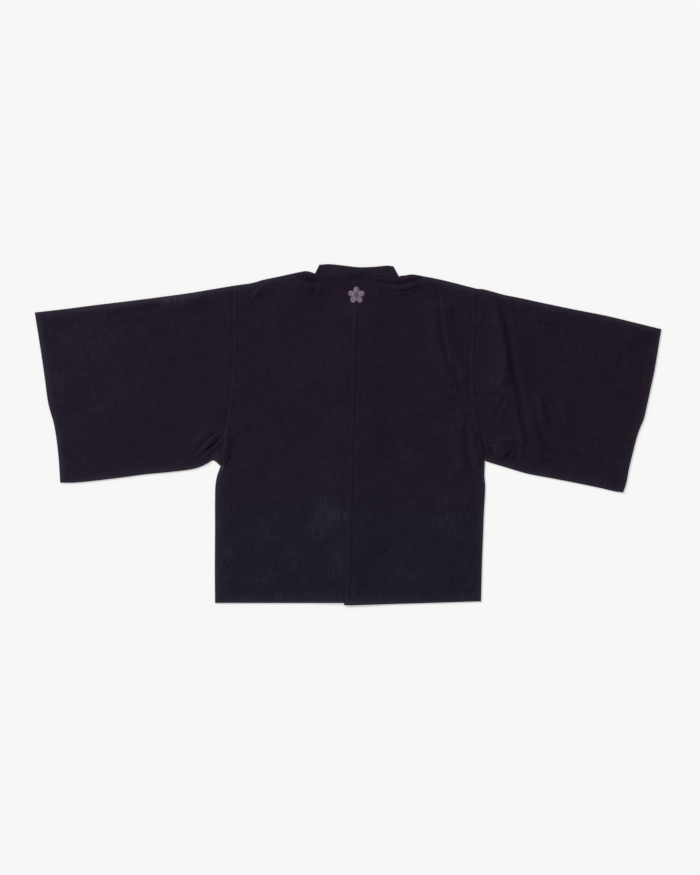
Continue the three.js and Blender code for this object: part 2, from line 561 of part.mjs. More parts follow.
// A flower of satin stitch: rings of points out to a petalled edge, laid on the backs' outer side
function flower(backs) {
  const spokes = FLOWER.petalSpokes * FLOWER.petals;
  const shares = [1 / 3, 2 / 3, 1];
  const grid = shares.map((share) => Array.from({ length: spokes }, (_, k) => {
    const angle = (2 * Math.PI * k) / spokes + Math.PI / 2;
    const petal = Math.abs(Math.cos((FLOWER.petals * (angle - Math.PI / 2)) / 2));
    const radius = share * (FLOWER.waist + (FLOWER.radius - FLOWER.waist) * petal ** FLOWER.roundness);
    return { x: FLOWER.x + radius * Math.cos(angle), y: FLOWER.y + radius * Math.sin(angle) };
  }));
  const plan = [{ x: FLOWER.x, y: FLOWER.y }, ...grid.flat()];
  const base = plan.map((p) => new THREE.Vector3(p.x, p.y, heightOn(backs, p.x, p.y) + FLOWER.clear));
  const points = [...base, ...base.map((p) => p.clone().setZ(p.z + FLOWER.thick))];
  const at = (side, ring, k) => side * plan.length + 1 + ring * spokes + (k % spokes);
  const faces = [];
  const outer = shares.length - 1;
  for (let k = 0; k < spokes; k++) {
    faces.push([plan.length, at(1, 0, k), at(1, 0, k + 1)]);
    faces.push([0, at(0, 0, k + 1), at(0, 0, k)]);
    for (let ring = 0; ring < outer; ring++) {
      faces.push(...quad(at(1, ring, k), at(1, ring + 1, k), at(1, ring + 1, k + 1), at(1, ring, k + 1)));
      faces.push(...quad(at(0, ring, k), at(0, ring, k + 1), at(0, ring + 1, k + 1), at(0, ring + 1, k)));
    }
    faces.push(...quad(at(0, outer, k), at(0, outer, k + 1), at(1, outer, k + 1), at(1, outer, k)));
  }
  return solid(points, faces);
}

// ---- The tunic

const tunic = new THREE.Group();
for (const [name, half] of Object.entries(HALVES)) {
  tunic.add(piece("back_" + name, back(half), CLOTH_COLOUR));
  tunic.add(piece("sleeve_" + name, sleeve(half), CLOTH_COLOUR));
}
const rightRise = (x, y) => dishRise(x, y) + lapRise(x, y);
tunic.add(piece("front_left", front(HALVES.left, FRONT_HEM.left, STRIP_COLUMNS.left, dishRise), CLOTH_COLOUR));
tunic.add(piece("front_right", front(HALVES.right, FRONT_HEM.right, STRIP_COLUMNS.right, rightRise), CLOTH_COLOUR));
tunic.add(piece("collar", collar(), CLOTH_COLOUR));
const backs = tunic.children.filter((mesh) => mesh.name.startsWith("back_"));
tunic.add(piece("embroidered_flower", flower(backs), THREAD_COLOUR, 0.6));
buttonCentres.forEach((centre, i) => {
  const mesh = piece("button_" + (i + 1), button(), BUTTON_COLOUR, 0.4);
  mesh.position.set(centre.x, centre.y, 0);
  tunic.add(mesh);
});

export default tunic;
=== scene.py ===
import math

import bmesh
import bpy
import numpy as np
from mathutils import Matrix


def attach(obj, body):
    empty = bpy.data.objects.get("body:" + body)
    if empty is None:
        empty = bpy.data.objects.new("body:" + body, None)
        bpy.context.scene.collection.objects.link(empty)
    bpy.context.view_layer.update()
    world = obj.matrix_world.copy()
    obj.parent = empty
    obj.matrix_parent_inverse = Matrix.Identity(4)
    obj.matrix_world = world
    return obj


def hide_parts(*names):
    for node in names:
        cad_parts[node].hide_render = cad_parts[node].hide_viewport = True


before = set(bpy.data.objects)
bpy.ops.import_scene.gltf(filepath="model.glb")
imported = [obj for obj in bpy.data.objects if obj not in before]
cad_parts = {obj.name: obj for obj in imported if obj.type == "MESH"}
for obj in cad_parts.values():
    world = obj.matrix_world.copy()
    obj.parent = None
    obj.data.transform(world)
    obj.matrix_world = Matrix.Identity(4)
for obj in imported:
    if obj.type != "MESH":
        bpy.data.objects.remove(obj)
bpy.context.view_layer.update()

# ---- How the cloth lies -------------------------------------------------------------------------
# The tunic is of one slubbed plain-weave cotton, laid on its front. The fronts and the lower half of each
# sleeve lie flat. The backs and the upper half of each sleeve lie on them, a little puffed and creased.
# Sizes are in millimetres, +X to the right as the back is seen and +Y towards the collar.
MM = 0.001
CLOTH = 1.2
GAP = 0.3
UPPER = CLOTH + GAP
LEAST = 0.3  # how loosely the upper layer lies in its deepest grooves
CLEAR = 0.25  # how far the backs are held off the fronts by a lap or a button
CAUGHT = 0.3  # how far a panel's edge runs into the piece that it is sewn to
SHOULDER = {  # armhole to neck
    "left": [(-254, 327.5), (-233, 330.5), (-215, 333), (-202, 336), (-189, 340), (-149, 348.5), (-105, 358),
             (-92, 360), (-81.5, 358)],
    "right": [(283.5, 321), (268, 325), (235, 333.5), (202, 341.5), (169, 348), (141, 352.5), (125, 350.5),
              (117.5, 350)],
}
SIDE = {  # hem to armpit
    "left": [(-292.5, -370), (-293, -297), (-292.5, -209), (-292.5, -143), (-291.5, -110), (-288.5, -92.5),
             (-280.5, -69)],
    "right": [(292.5, -366.5), (293.5, -330), (295, -275), (297, -222), (299, -169), (301.5, -125),
              (301.5, -108), (300, -90), (301, -57.5)],
}
ARMHOLE = {  # armpit to shoulder
    "left": [(-280.5, -69), (-278.5, -37.5), (-275, -11), (-271, 22), (-266, 55), (-261, 88), (-257, 125),
             (-254.5, 187), (-254.5, 275), (-254, 327.5)],
    "right": [(301, -57.5), (297.5, -31), (292.5, -2), (286.5, 33), (282, 68), (279.5, 110), (279, 165),
              (280.5, 220), (282, 275), (283.5, 321)],
}
SLEEVE_TOP = {  # armhole to cuff
    "left": [(-254, 327.5), (-299, 320), (-347, 312), (-413, 303), (-479, 294.5), (-550, 286), (-620, 277),
             (-689, 269)],
    "right": [(283.5, 321), (295, 320.5), (312, 316.5), (343, 308), (378, 301), (431, 289.5), (501, 275),
              (572, 261), (642, 244), (689, 232.5)],
}
SLEEVE_BOTTOM = {  # armpit to cuff
    "left": [(-280.5, -69), (-296.5, -56.5), (-308, -62.5), (-321, -69), (-339, -75), (-391, -82),
             (-444, -87), (-497, -94), (-550, -100.5), (-603, -105.5), (-633, -105.5)],
    "right": [(301, -57.5), (321, -64), (343, -70.5), (369, -78.5), (396, -86), (449, -96), (501, -106),
              (554, -117), (589, -125), (605, -127)],
}
CUFF = {  # underarm to top
    "left": [(-633, -105.5), (-636, -57), (-639.5, -22), (-644, 9), (-648.5, 31), (-654, 48.5),
             (-659.5, 70.5), (-666.5, 121), (-674, 174), (-689, 269)],
    "right": [(605, -127), (611.5, -108), (618.5, -72.5), (627, -37.5), (635.5, -4.5), (642.5, 15.5),
              (650, 33), (656.5, 59.5), (666, 103.5), (673.5, 138.5), (689, 232.5)],
}
CENTRE_BACK = [  # hem to neck
    (5, -370), (9.5, -230), (13, -75), (15.5, 20), (18, 140), (22, 248), (23, 344.3),
]
NECK_SEAM = {  # the collar's seam: back from side to side, fronts from the centre front to the side
    "back": [(-71.5, 353.2), (-50, 348.5), (-17, 345.5), (23, 343.9), (59, 342.6), (92, 342.3), (110, 347.6)],
    "left": [(16.5, 270.5), (-15, 278.5), (-41, 295.5), (-60, 318), (-69.5, 337), (-71.5, 353.2)],
    "right": [(17.5, 270.5), (50, 277), (78.5, 292.5), (97, 312), (107.5, 331), (110, 347.6)],
}
INWARD = {"left": 1, "right": -1}  # the sign of X from each side towards the middle

# Broad ridges of the upper layer: line, rise and half width
RIDGES = [
    ([(322, 262), (342, 190), (344, 100)], 6, 15),
    ([(372, 232), (386, 140), (408, 40)], 2.6, 22),
    ([(398, 60), (412, 0), (424, -45)], 3.5, 12),
    ([(418, 98), (425, 60), (434, 15)], 3.5, 11),
    ([(468, 90), (475, 50), (482, 5)], 2.5, 13),
    ([(318, -30), (336, -34), (352, -48)], 6, 15),
    ([(274, 20), (283, -30), (290, -78)], 3.5, 10),
    ([(246, 30), (246, -30), (254, -90)], 3, 13),
    ([(216, 300), (226, 209), (264, 105)], 4, 13),
    ([(184, 296), (196, 200), (232, 100)], 4, 13),
    ([(108, 325), (130, 326), (158, 335)], 1, 9),
    ([(-287, -2), (-306, -22), (-324, -42)], 4, 9),
    ([(-298, 14), (-321, -6), (-338, -27)], 3, 12),
    ([(-262, 12), (-268, -30), (-281, -72)], 5, 11),
    ([(-98, 328), (-76, 318), (-62, 304)], 1.2, 12),
    ([(-305, 308), (-355, 301), (-410, 292)], 4, 17),
    ([(-180, 322), (-200, 308), (-216, 292)], 2, 9),
]
# Creases: line, rise (below 0 for a groove), half width, and the rise of a lip on the line's left, or on
# its right if that is below 0
CREASES = [
    # left underarm
    ([(-272, 14), (-286, 6), (-300, -3), (-316, -19), (-333, -39), (-344, -52)], -1.9, 2.8, 0.6),
    ([(-271, 0), (-285, -13), (-298, -25), (-311, -36), (-321, -49)], -2.6, 3.4, 0.9),
    ([(-253, -29), (-262, -60), (-271, -82), (-279, -97)], -1.1, 3.2, -0.6),
    ([(-268, -8), (-276, -30), (-283, -46)], -0.7, 2.6, 0.4),
    ([(-273, -111), (-255, -104)], -0.7, 3.2, 0.4),
    ([(-296, 22), (-330, -2), (-362, -40)], -0.7, 5, 0.4),
    ([(-300, -60), (-322, -46), (-350, -42)], -0.8, 3.4, 0.4),
    # left shoulder and sleeve
    ([(-186, 331), (-212, 316), (-238, 297)], -1.3, 3.2, 0.7),
    ([(-208, 329), (-222, 318), (-236, 306)], -0.9, 2.6, 0.4),
    ([(-170, 330), (-200, 300), (-224, 272)], -0.7, 4, -0.4),
    ([(-537, 259), (-470, 271), (-403, 285)], -1.2, 8, 0.9),
    ([(-640, 82), (-590, 66), (-540, 60)], -0.8, 9, 0.3),
    ([(-262, 240), (-300, 232), (-345, 236)], -0.5, 9, 0.3),
    ([(-470, 60), (-476, 110), (-470, 165)], -0.4, 9, 0.3),
    ([(-560, 180), (-566, 120), (-558, 60)], -0.4, 10, -0.3),
    # left of the neck
    ([(-112, 350), (-98, 343), (-84, 337), (-66, 331)], -6, 7.5, -0.8),
    ([(-72, 337), (-60, 329), (-54, 319), (-52, 300)], -3, 5.2, 0.5),
    ([(-96, 353), (-86, 347), (-74, 346)], -1.2, 3, 0.4),
    ([(-26, 328), (-19, 318), (-13, 305), (-11, 290)], -1.1, 4, 0.6),
    ([(-110, 346), (-100, 318), (-96, 290)], -0.5, 6, 0.4),
    # right of the neck
    ([(56, 338), (80, 335.5), (102, 331.5), (124, 332.5), (150, 339), (168, 343)], -4.6, 6, 0.5),
    ([(100, 315), (116, 315), (133, 318), (146, 324), (158, 331)], -1.6, 3, 0.6),
    ([(88, 334), (97, 326), (106, 315)], -2, 5, 0.3),
    ([(88, 300), (104, 299), (118, 302)], -0.6, 5, 0.3),
    # right back
    ([(180, 338), (194, 322), (200, 296), (204, 250), (216, 186), (222, 151), (242, 122), (250, 92)],
     -2.2, 4.6, 0.9),
    ([(240, 294), (262, 244)], -1.1, 5, 0.5),
    ([(172, 300), (164, 276), (154, 250)], -1.0, 5, 0.5),
    ([(258, 40), (262, 0), (264, -34), (268, -56), (275, -82)], -1.9, 6.5, 0.7),
    ([(260, -93), (282, -104), (290, -111)], -1.0, 3.4, 0.6),
    ([(236, -20), (244, -70), (262, -104)], -0.6, 6, 0.4),
    # right sleeve
    ([(334, 304), (346, 252), (355, 205), (361, 165), (370, 122), (378, 80), (382, 47), (391, 12),
      (402, -30)], -4.4, 8.5, 0.8),
    ([(308, 308), (339, 289), (367, 261), (410, 246), (466, 235)], -1.5, 5, 0.6),
    ([(350, 88), (338, 68), (327, 45), (322, 12)], -2.0, 6, 0.6),
    ([(416, 106), (433, 69), (444, 40), (453, 4)], -2.4, 6, 0.6),
    ([(366, 20), (372, -10), (384, -44)], -1.4, 5, 0.5),
    ([(520, 180), (534, 120), (530, 60)], -0.6, 9, 0.3),
    ([(560, 30), (566, -30), (560, -80)], -0.6, 8, -0.3),
    ([(600, 216), (606, 170), (600, 130)], -0.6, 8, 0.3),
    ([(460, -42), (500, -50), (540, -46)], -0.8, 7, 0.3),
    # right underarm
    ([(294, -6), (299, -24), (305, -42), (315, -52)], -2.8, 3.4, 1.0),
    ([(312, -20), (328, -20), (341, -24), (351, -31)], -2.0, 2.8, 0.9),
    ([(345, -7), (352, -17), (363, -22), (370, -32), (371, -46), (368, -60)], -3.0, 5, 1.0),
    ([(314, -49), (328, -38)], -1.1, 2.6, 0.5),
    ([(411, -58), (438, -59)], -0.9, 3.2, 0.5),
    # lower back
    ([(9, -128), (103, -139), (191, -150)], -0.45, 6, 0.35),
    ([(-95, -130), (-51, -130)], -0.4, 6, 0.3),
    ([(-250, -205), (-180, -214), (-120, -208)], -0.4, 8, 0.3),
    ([(205, -235), (240, -250), (284, -246)], -0.4, 7, 0.3),
]
FRONT_X, FRONT_Y = (2, 17), (-370, 267.5)  # the centre front, from the hem to the collar's seam
BUTTONS = [(float(np.interp(y, FRONT_Y, FRONT_X)), y) for y in np.arange(-228.0, 240.0, 115.0)]
BUTTON_THICK = 2.0


def smooth(rows, samples=12):
    """Points along a centripetal Catmull-Rom curve through a table's rows."""
    p = np.array(rows, float)
    if len(p) == 2:
        return np.linspace(p[0], p[1], samples + 1)
    p = np.vstack([2 * p[0] - p[1], p, 2 * p[-1] - p[-2]])
    k = np.concatenate([[0], np.cumsum(np.sqrt(np.linalg.norm(np.diff(p, axis=0), axis=1)))])
    out = [p[1:2]]
    for i in range(1, len(p) - 2):
        t = np.linspace(k[i], k[i + 1], samples + 1)[1:, None]

        def mix(a, b, j, m):
            return ((k[m] - t) * a + (t - k[j]) * b) / (k[m] - k[j])

        first = mix(p[i - 1], p[i], i - 1, i)
        second = mix(p[i], p[i + 1], i, i + 1)
        third = mix(p[i + 1], p[i + 2], i + 1, i + 2)
        out.append(mix(mix(first, second, i - 1, i + 1), mix(second, third, i, i + 2), i, i + 1))
    return np.vstack(out)


def length_of(line):
    return float(np.linalg.norm(np.diff(line, axis=0), axis=1).sum())


def run_of(line):
    """How far along the line each of its points is."""
    return np.concatenate([[0], np.cumsum(np.linalg.norm(np.diff(line, axis=0), axis=1))])


def along(line, shares):
    """The points at these shares of a line's length."""
    steps = run_of(line)
    places = np.asarray(shares) * steps[-1]
    return np.stack([np.interp(places, steps, line[:, i]) for i in range(line.shape[1])], 1)


def moved(line, by):
    """The line moved sideways, to its left where by is above 0."""
    run = np.gradient(line, axis=0)
    run /= np.linalg.norm(run, axis=1)[:, None]
    return line + by * np.stack([-run[:, 1], run[:, 0]], 1)


def near(x, y, line):
    """Distance to a line, side of it (1 on its left), place along it, and its length."""
    away = np.full(x.shape, np.inf)
    side = np.ones(x.shape)
    place = np.zeros(x.shape)
    start = 0.0
    for a, b in zip(line[:-1], line[1:]):
        run = b - a
        length = math.hypot(*run)
        t = np.clip(((x - a[0]) * run[0] + (y - a[1]) * run[1]) / length**2, 0, 1)
        d = np.hypot(x - a[0] - t * run[0], y - a[1] - t * run[1])
        closer = d < away
        away = np.where(closer, d, away)
        side = np.where(closer, np.sign(run[0] * (y - a[1]) - run[1] * (x - a[0])), side)
        place = np.where(closer, start + t * length, place)
        start += length
    return away, side, place, start


def from_line(x, y, table, samples=4):
    """Distance to the smooth curve through a table's rows."""
    return near(x, y, smooth(table, samples))[0]


def bell(x, middle, half):
    return np.exp(-(((x - middle) / half) ** 2))


def ease(x, a, b):
    t = np.clip((x - a) / (b - a), 0, 1)
    return t * t * (3 - 2 * t)


def neck_edge(name):
    """A panel's edge along the collar's seam, caught in it."""
    return moved(smooth(NECK_SEAM[name]), {"back": CAUGHT, "left": -CAUGHT, "right": CAUGHT}[name])


OUTLINE = [
    smooth(line, 3)
    for side in ("left", "right")
    for line in (SIDE[side], SLEEVE_BOTTOM[side], CUFF[side], SLEEVE_TOP[side], SHOULDER[side])
]
OUTLINE += [np.array([(-292.5, -370), (5, -370)]), np.array([(5, -375), (292.5, -366.5)])]


def from_outline(x, y):
    return np.min([near(x, y, line)[0] for line in OUTLINE], axis=0)


def from_edge(x, y):
    """Distance to the outline, or to the collar's seam."""
    return np.minimum(from_outline(x, y), from_line(x, y, NECK_SEAM["back"], 3))


def button_rise(x, y, rise, flat, foot):
    """A rise over each button, level out to one distance from it and down to nothing at the other."""
    away = np.min([np.hypot(x - b[0], y - b[1]) for b in BUTTONS], axis=0)
    return rise * (1 - ease(away, flat, foot))


def past_centre_front(x, y):
    return x - np.interp(y, FRONT_Y, FRONT_X)


def front_left_rise(x, y):
    """The left front is dished over each button under it."""
    return button_rise(x, y, BUTTON_THICK + GAP, 16.5, 40)


def front_right_rise(x, y):
    """The right front also rides up on the left one's edge."""
    return front_left_rise(x, y) + UPPER * (1 - ease(past_centre_front(x, y), 15, 35))


def over_fronts(x, y):
    """The backs' rise over the fronts' laps and buttons, and over the collar's front half."""
    past = past_centre_front(x, y)
    lap = (UPPER + CLEAR) * ease(past, -100, -13) * (1 - ease(past, 17, 105))
    buttons = button_rise(x, y, BUTTON_THICK + GAP + CLEAR, 20.5, 95)
    neck = 0.45 * (1 - ease(np.hypot((x - 18) / 100, (y - 325) / 62), 1.05, 1.5))
    return (lap + buttons) * (1 - ease(y, 262, 297.5)) + neck


def line_rise(x, y, line, rise, half, lip):
    """A ridge or groove along a line, with a lip beside it, dying away at its ends."""
    line = smooth(line, 5)
    out = np.zeros(x.shape)
    reach = 4 * half
    low, high = line.min(0) - reach, line.max(0) + reach
    inside = (x > low[0]) & (x < high[0]) & (y > low[1]) & (y < high[1])
    if not inside.any():
        return out
    away, side, place, length = near(x[inside], y[inside], line)
    taper = 0.15 + 0.85 * ease(np.minimum(place, length - place), 0, min(22, length / 4))
    shape = rise * bell(away, 0, half) + max(-0.75 * rise, 0) * bell(away, 0, 2.5 * half)
    beside = away * side * np.sign(lip or 1)
    shape += abs(lip) * bell(beside, 1.7 * half, 1.2 * half)
    out[inside] = shape * taper
    return out


def undulation(x, y, seed, shortest, longest, slope):
    """Slow random waves of the cloth, of about this steepness."""
    rng = np.random.default_rng(seed)
    out = np.zeros(x.shape)
    count = 14
    for _ in range(count):
        length = math.exp(rng.uniform(math.log(shortest), math.log(longest)))
        turn, phase = rng.uniform(0, math.tau, 2)
        across = x * math.sin(turn) - y * math.cos(turn)
        wander = 0.25 * length * np.sin(math.tau * across / (2.7 * length) + phase)
        distance = x * math.cos(turn) + y * math.sin(turn) + wander
        out += length / math.tau * np.sin(math.tau * distance / length + phase)
    return out * slope * math.sqrt(2 / count)


def upper_underside(x, y):
    """Height of the upper layer's underside: about 1 mm of puff in slow waves, ridges and creases."""
    edge = from_edge(x, y)
    puff = 1 + 0.5 * np.sin(math.tau * x / 190 + 0.4) * np.cos(math.tau * y / 260)
    puff += 0.35 * np.sin(math.tau * x / 120 + 2.1) * np.cos(math.tau * y / 95)
    puff += undulation(x, y, 3, 45, 210, 0.018)
    ridges = sum(line_rise(x, y, line, rise, half, 0) for line, rise, half in RIDGES)
    creases = sum(line_rise(x, y, *crease) for crease in CREASES)
    fine = undulation(x, y, 8, 14, 40, 0.012)
    loose = ease(edge, 0, 14) * (puff + ridges) + ease(edge, 0, 6) * (creases + fine)
    # where a groove would cut into the lower layer, it levels out just above it
    above = np.where(loose > LEAST, loose, LEAST * np.exp(np.minimum(loose / LEAST - 1, 0)))
    return UPPER + over_fronts(x, y) + above


def rounded(d, radius):
    """From 0 at an edge to 1 at the radius from it, as a quarter circle."""
    return np.sqrt(1 - (1 - np.clip(d / radius, 0, 1)) ** 2)


def spaced(knots, length, step, finer=(), first=(), last=()):
    """Shares from 0 to 1 through the knots, a step apart, or finer from one distance to another, with
    more near both ends at these distances from them."""
    place = np.linspace(0, length, 3000)
    local = np.full(3000, float(step))
    for start, end, small in finer:
        local[(place >= start) & (place <= end)] = small
    count = np.concatenate([[0], np.cumsum(np.diff(place) / local[1:])])
    shares = []
    for ends in zip(knots[:-1], knots[1:]):
        a, b = np.interp(np.array(ends) * length, place, count)
        shares += list(np.interp(np.linspace(a, b, max(2, round(b - a)) + 1), count, place) / length)
    edge = np.array([0.5, 1.2, 2.4])
    more = np.concatenate([edge, first, length - edge, length - np.array(last)]) / length
    knots = np.array(knots)
    kept = [t for t in shares if np.abs(more - t).min() > 0.8 / length or np.abs(knots - t).min() < 1e-9]
    return np.unique(np.round(np.concatenate([kept, more]), 7))


def numbered(rows, columns):
    return np.arange(rows * columns).reshape(rows, columns)


def tube_faces(at):
    """The faces of a tube of numbered points, a row of them for each ring."""
    ahead = np.roll(at, -1, axis=1)
    return np.stack([at[:-1], at[1:], ahead[1:], ahead[:-1]], 2).reshape(-1, 4)


def spread(low, high, start, end, across, up):
    """Plan points between four edges: low and high run across, start and end run up."""
    u, v = across[None, :, None], up[:, None, None]
    bottom, top = along(low, across)[None], along(high, across)[None]
    left, right = along(start, up)[:, None], along(end, up)[:, None]
    low_ends = (1 - u) * bottom[:, :1] + u * bottom[:, -1:]
    high_ends = (1 - u) * top[:, :1] + u * top[:, -1:]
    return (1 - v) * bottom + v * top + (1 - u) * left + u * right - ((1 - v) * low_ends + v * high_ends)


def linked(name, data):
    """A new object in the scene."""
    obj = bpy.data.objects.new(name, data)
    bpy.context.collection.objects.link(obj)
    return obj


def cloth_mesh(name, points, quads, cut, wear_light_and_shade):
    """A smooth mesh from points in millimetres, four-cornered faces, and for each point its place on the
    cut cloth and how pale it is drawn, as wear together with a painted highlight, or how dark, as painted
    shade where below 0."""
    corners = points[quads]
    fans = [np.cross(corners[:, a], corners[:, a + 1]) for a in (1, 2)]
    if sum(np.einsum("ij,ij->", corners[:, 0], fan) for fan in fans) < 0:  # inside out
        quads = quads[:, ::-1]
    mesh = bpy.data.meshes.new(name)
    mesh.vertices.add(len(points))
    mesh.vertices.foreach_set("co", (points * MM).astype(np.float32).ravel())
    mesh.loops.add(quads.size)
    mesh.loops.foreach_set("vertex_index", quads.astype(np.int32).ravel())
    mesh.polygons.add(len(quads))
    mesh.polygons.foreach_set("loop_start", np.arange(len(quads), dtype=np.int32) * 4)
    mesh.polygons.foreach_set("use_smooth", np.ones(len(quads), bool))
    layer = mesh.uv_layers.new(name="cut")
    layer.data.foreach_set("uv", (cut[quads.ravel()] * MM).astype(np.float32).ravel())
    # per point: pale wear together with painted highlight above 0, painted shade below 0
    mesh.attributes.new("wear_light_and_shade", "FLOAT", "POINT").data.foreach_set("value", wear_light_and_shade.astype(np.float32))
    mesh.validate()
    mesh.update()
    return linked(name, mesh)


def wear_light_and_shade_at(x, y):
    """How pale the cloth is drawn, at outer edges and along seams, as wear together with a painted highlight,
    and how dark, as painted shade in its creases, at its seams and under the collar.
    """
    from_neck = from_line(x, y, NECK_SEAM["back"])
    # the outer edges, pale as wear together with a painted highlight on their rolled rims, though less beside
    # the neck, and the hem once more
    wear_light_and_shade = 0.9 * np.exp(-np.maximum(from_outline(x, y) - 2.6, 0) / 6.3) * (1 - 0.6 * bell(from_neck, 0, 70))
    wear_light_and_shade += 0.22 * np.exp(-np.abs(y + 371) / 8) * (np.abs(x) < 296)
    # beside each seam, a pale ridge on the side that its allowance lies on, as wear together with a painted
    # highlight on its crest, and a line of painted shade in the seam itself
    for side, ridge in (("left", 5.8), ("right", 6.8)):
        away, hand = near(x, y, smooth(ARMHOLE[side], 4))[:2]
        wear_light_and_shade += (hand == -INWARD[side]) * 0.15 * bell(away, ridge, 2.2) - 0.1 * bell(away, 0, 1.8)
    away, hand = near(x, y, smooth(CENTRE_BACK, 4))[:2]
    wear_light_and_shade += np.where(hand > 0, 0.03 * bell(away, 5.5, 2.6), 0)
    # no pale wear or painted highlight within the creases, and painted shade in them, darker in the deep ones
    for line, rise, half, _ in CREASES:
        within = line_rise(x, y, line, 1, half, 0)
        wear_light_and_shade = wear_light_and_shade * (1 - min(-rise / 3, 1) * within) - 0.34 * min(-rise / 6, 1) ** 2 * within
    # painted shadow of the collar's edge on the back, along the neck seam
    return wear_light_and_shade - 0.13 * np.exp(-from_neck / 7)


def wall(name, plan, underside, outside):
    """A closed wall of cloth between two heights over a grid of plan points."""
    steps = [np.linalg.norm(np.diff(plan, axis=1 - i), axis=2).mean(i) for i in (0, 1)]
    cut = np.stack(np.meshgrid(*[np.concatenate([[0], np.cumsum(step)]) for step in steps]), 2)
    rows, columns = plan.shape[:2]
    layers = [np.concatenate([plan, z[..., None]], 2).reshape(-1, 3) for z in (underside, outside)]
    at = numbered(rows, columns)
    faces = np.stack([at[:-1, :-1], at[:-1, 1:], at[1:, 1:], at[1:, :-1]], 2).reshape(-1, 4)
    rim = np.concatenate([at[0, :-1], at[:-1, -1], at[-1, :0:-1], at[:0:-1, 0]])
    ahead = np.roll(rim, -1)
    top = rows * columns
    quads = np.concatenate([faces[:, ::-1], faces + top, np.stack([rim, ahead, ahead + top, rim + top], 1)])
    wear_light_and_shade = np.tile(wear_light_and_shade_at(plan[..., 0], plan[..., 1]).ravel(), 2)
    return cloth_mesh(name, np.concatenate(layers), quads, np.tile(cut.reshape(-1, 2), (2, 1)), wear_light_and_shade)


# The cloth's colour and weave. The dye is a very dark aubergine, faded unevenly towards blue-grey
# below the arms, with slubs in both directions and a little lint.
def add(tree, kind, sockets=None, **settings):
    """A node with its settings, and its sockets set to values or joined to other nodes' outputs."""
    made = tree.nodes.new(kind)
    for key, value in settings.items():
        setattr(made, key, value)
    for key, value in (sockets or {}).items():
        if isinstance(value, bpy.types.NodeSocket):
            tree.links.new(value, made.inputs[key])
        else:
            made.inputs[key].default_value = value
    return made


def maths(tree, operation, *values, **settings):
    return add(tree, "ShaderNodeMath", dict(enumerate(values)), operation=operation, **settings).outputs[0]


def ramp(tree, value, start, end, low=0.0, high=1.0, **settings):
    """A value brought from one range to another, and kept within it."""
    fit = {"Value": value, "From Min": start, "From Max": end, "To Min": low, "To Max": high}
    return add(tree, "ShaderNodeMapRange", fit, **settings).outputs[0]


def noise(tree, place, scale, detail, rough=0.5, bend=0.0):
    texture = {"Vector": place, "Scale": scale, "Detail": detail, "Roughness": rough, "Distortion": bend}
    return add(tree, "ShaderNodeTexNoise", texture).outputs[0]


def bump(tree, height, strength, distance):
    relief = {"Height": height, "Strength": strength, "Distance": distance}
    return add(tree, "ShaderNodeBump", relief).outputs[0]


def blend(tree, share, one, other):
    """From one colour to another, by a share of 0 to 1."""
    mixed = {"Factor": share, "A": one, "B": (*other, 1)}
    return add(tree, "ShaderNodeMix", mixed, data_type="RGBA").outputs["Result"]


def material(name, values):
    """A new material, its node tree and its shader's inputs, with these set."""
    made = bpy.data.materials.new(name)
    made.use_nodes = True
    shader = made.node_tree.nodes["Principled BSDF"].inputs
    for key, value in values.items():
        shader[key].default_value = value
    return made, made.node_tree, shader


THREADS_PER_METRE = 1100.0


def slub_weave(tree, cut):
    """Plain weave with uneven threads: a height for the bump and a tone round 1."""
    scaled = {0: cut, "Scale": THREADS_PER_METRE}
    threads = add(tree, "ShaderNodeVectorMath", scaled, operation="SCALE").outputs[0]
    split = add(tree, "ShaderNodeSeparateXYZ", {0: threads}).outputs
    waves = [maths(tree, "SINE", maths(tree, "MULTIPLY", split[axis], math.pi)) for axis in "XY"]
    slubs = []
    for scale in ((430, 30, 1), (26, 390, 1)):
        place = add(tree, "ShaderNodeMapping", {"Vector": cut, "Scale": scale}).outputs[0]
        slubs.append(noise(tree, place, 1.0, 3.0, 0.6))
    slub = maths(tree, "ADD", *slubs)
    height = maths(tree, "MULTIPLY_ADD", maths(tree, "MULTIPLY", *waves), 0.35, slub)
    return height, ramp(tree, slub, 0.7, 1.3, 0.7, 1.3)


FADED = [  # worn, paler places: middle and half sizes in millimetres, and how strong
    (-40, -172, 46, 44, 1.0), (-72, -208, 30, 26, 0.55), (-20, -278, 28, 56, 0.6), (-183, -218, 32, 34, 0.4),
    (213, -144, 26, 26, 0.4), (213, -194, 44, 40, 0.6), (-383, 296, 66, 18, 0.9), (-557, 208, 84, 60, 0.35),
    (-634, 110, 26, 46, 0.45), (-268, -260, 26, 70, 0.4), (-183, -320, 44, 26, 0.3),
    (120, -300, 70, 40, 0.25), (-160, -89, 22, 18, 0.35), (-105, 153, 40, 40, 0.2), (318, 116, 40, 54, 0.3),
    (-120, -270, 40, 36, 0.3),
]
DYE, DYE_BLUE = (0.0117, 0.0066, 0.0139, 1), (0.0103, 0.0084, 0.0162)
WORN, PALE_WEAR_AND_HIGHLIGHT, LINT = (0.0182, 0.0160, 0.0270), (0.0240, 0.0190, 0.0310), (0.021, 0.0185, 0.029)


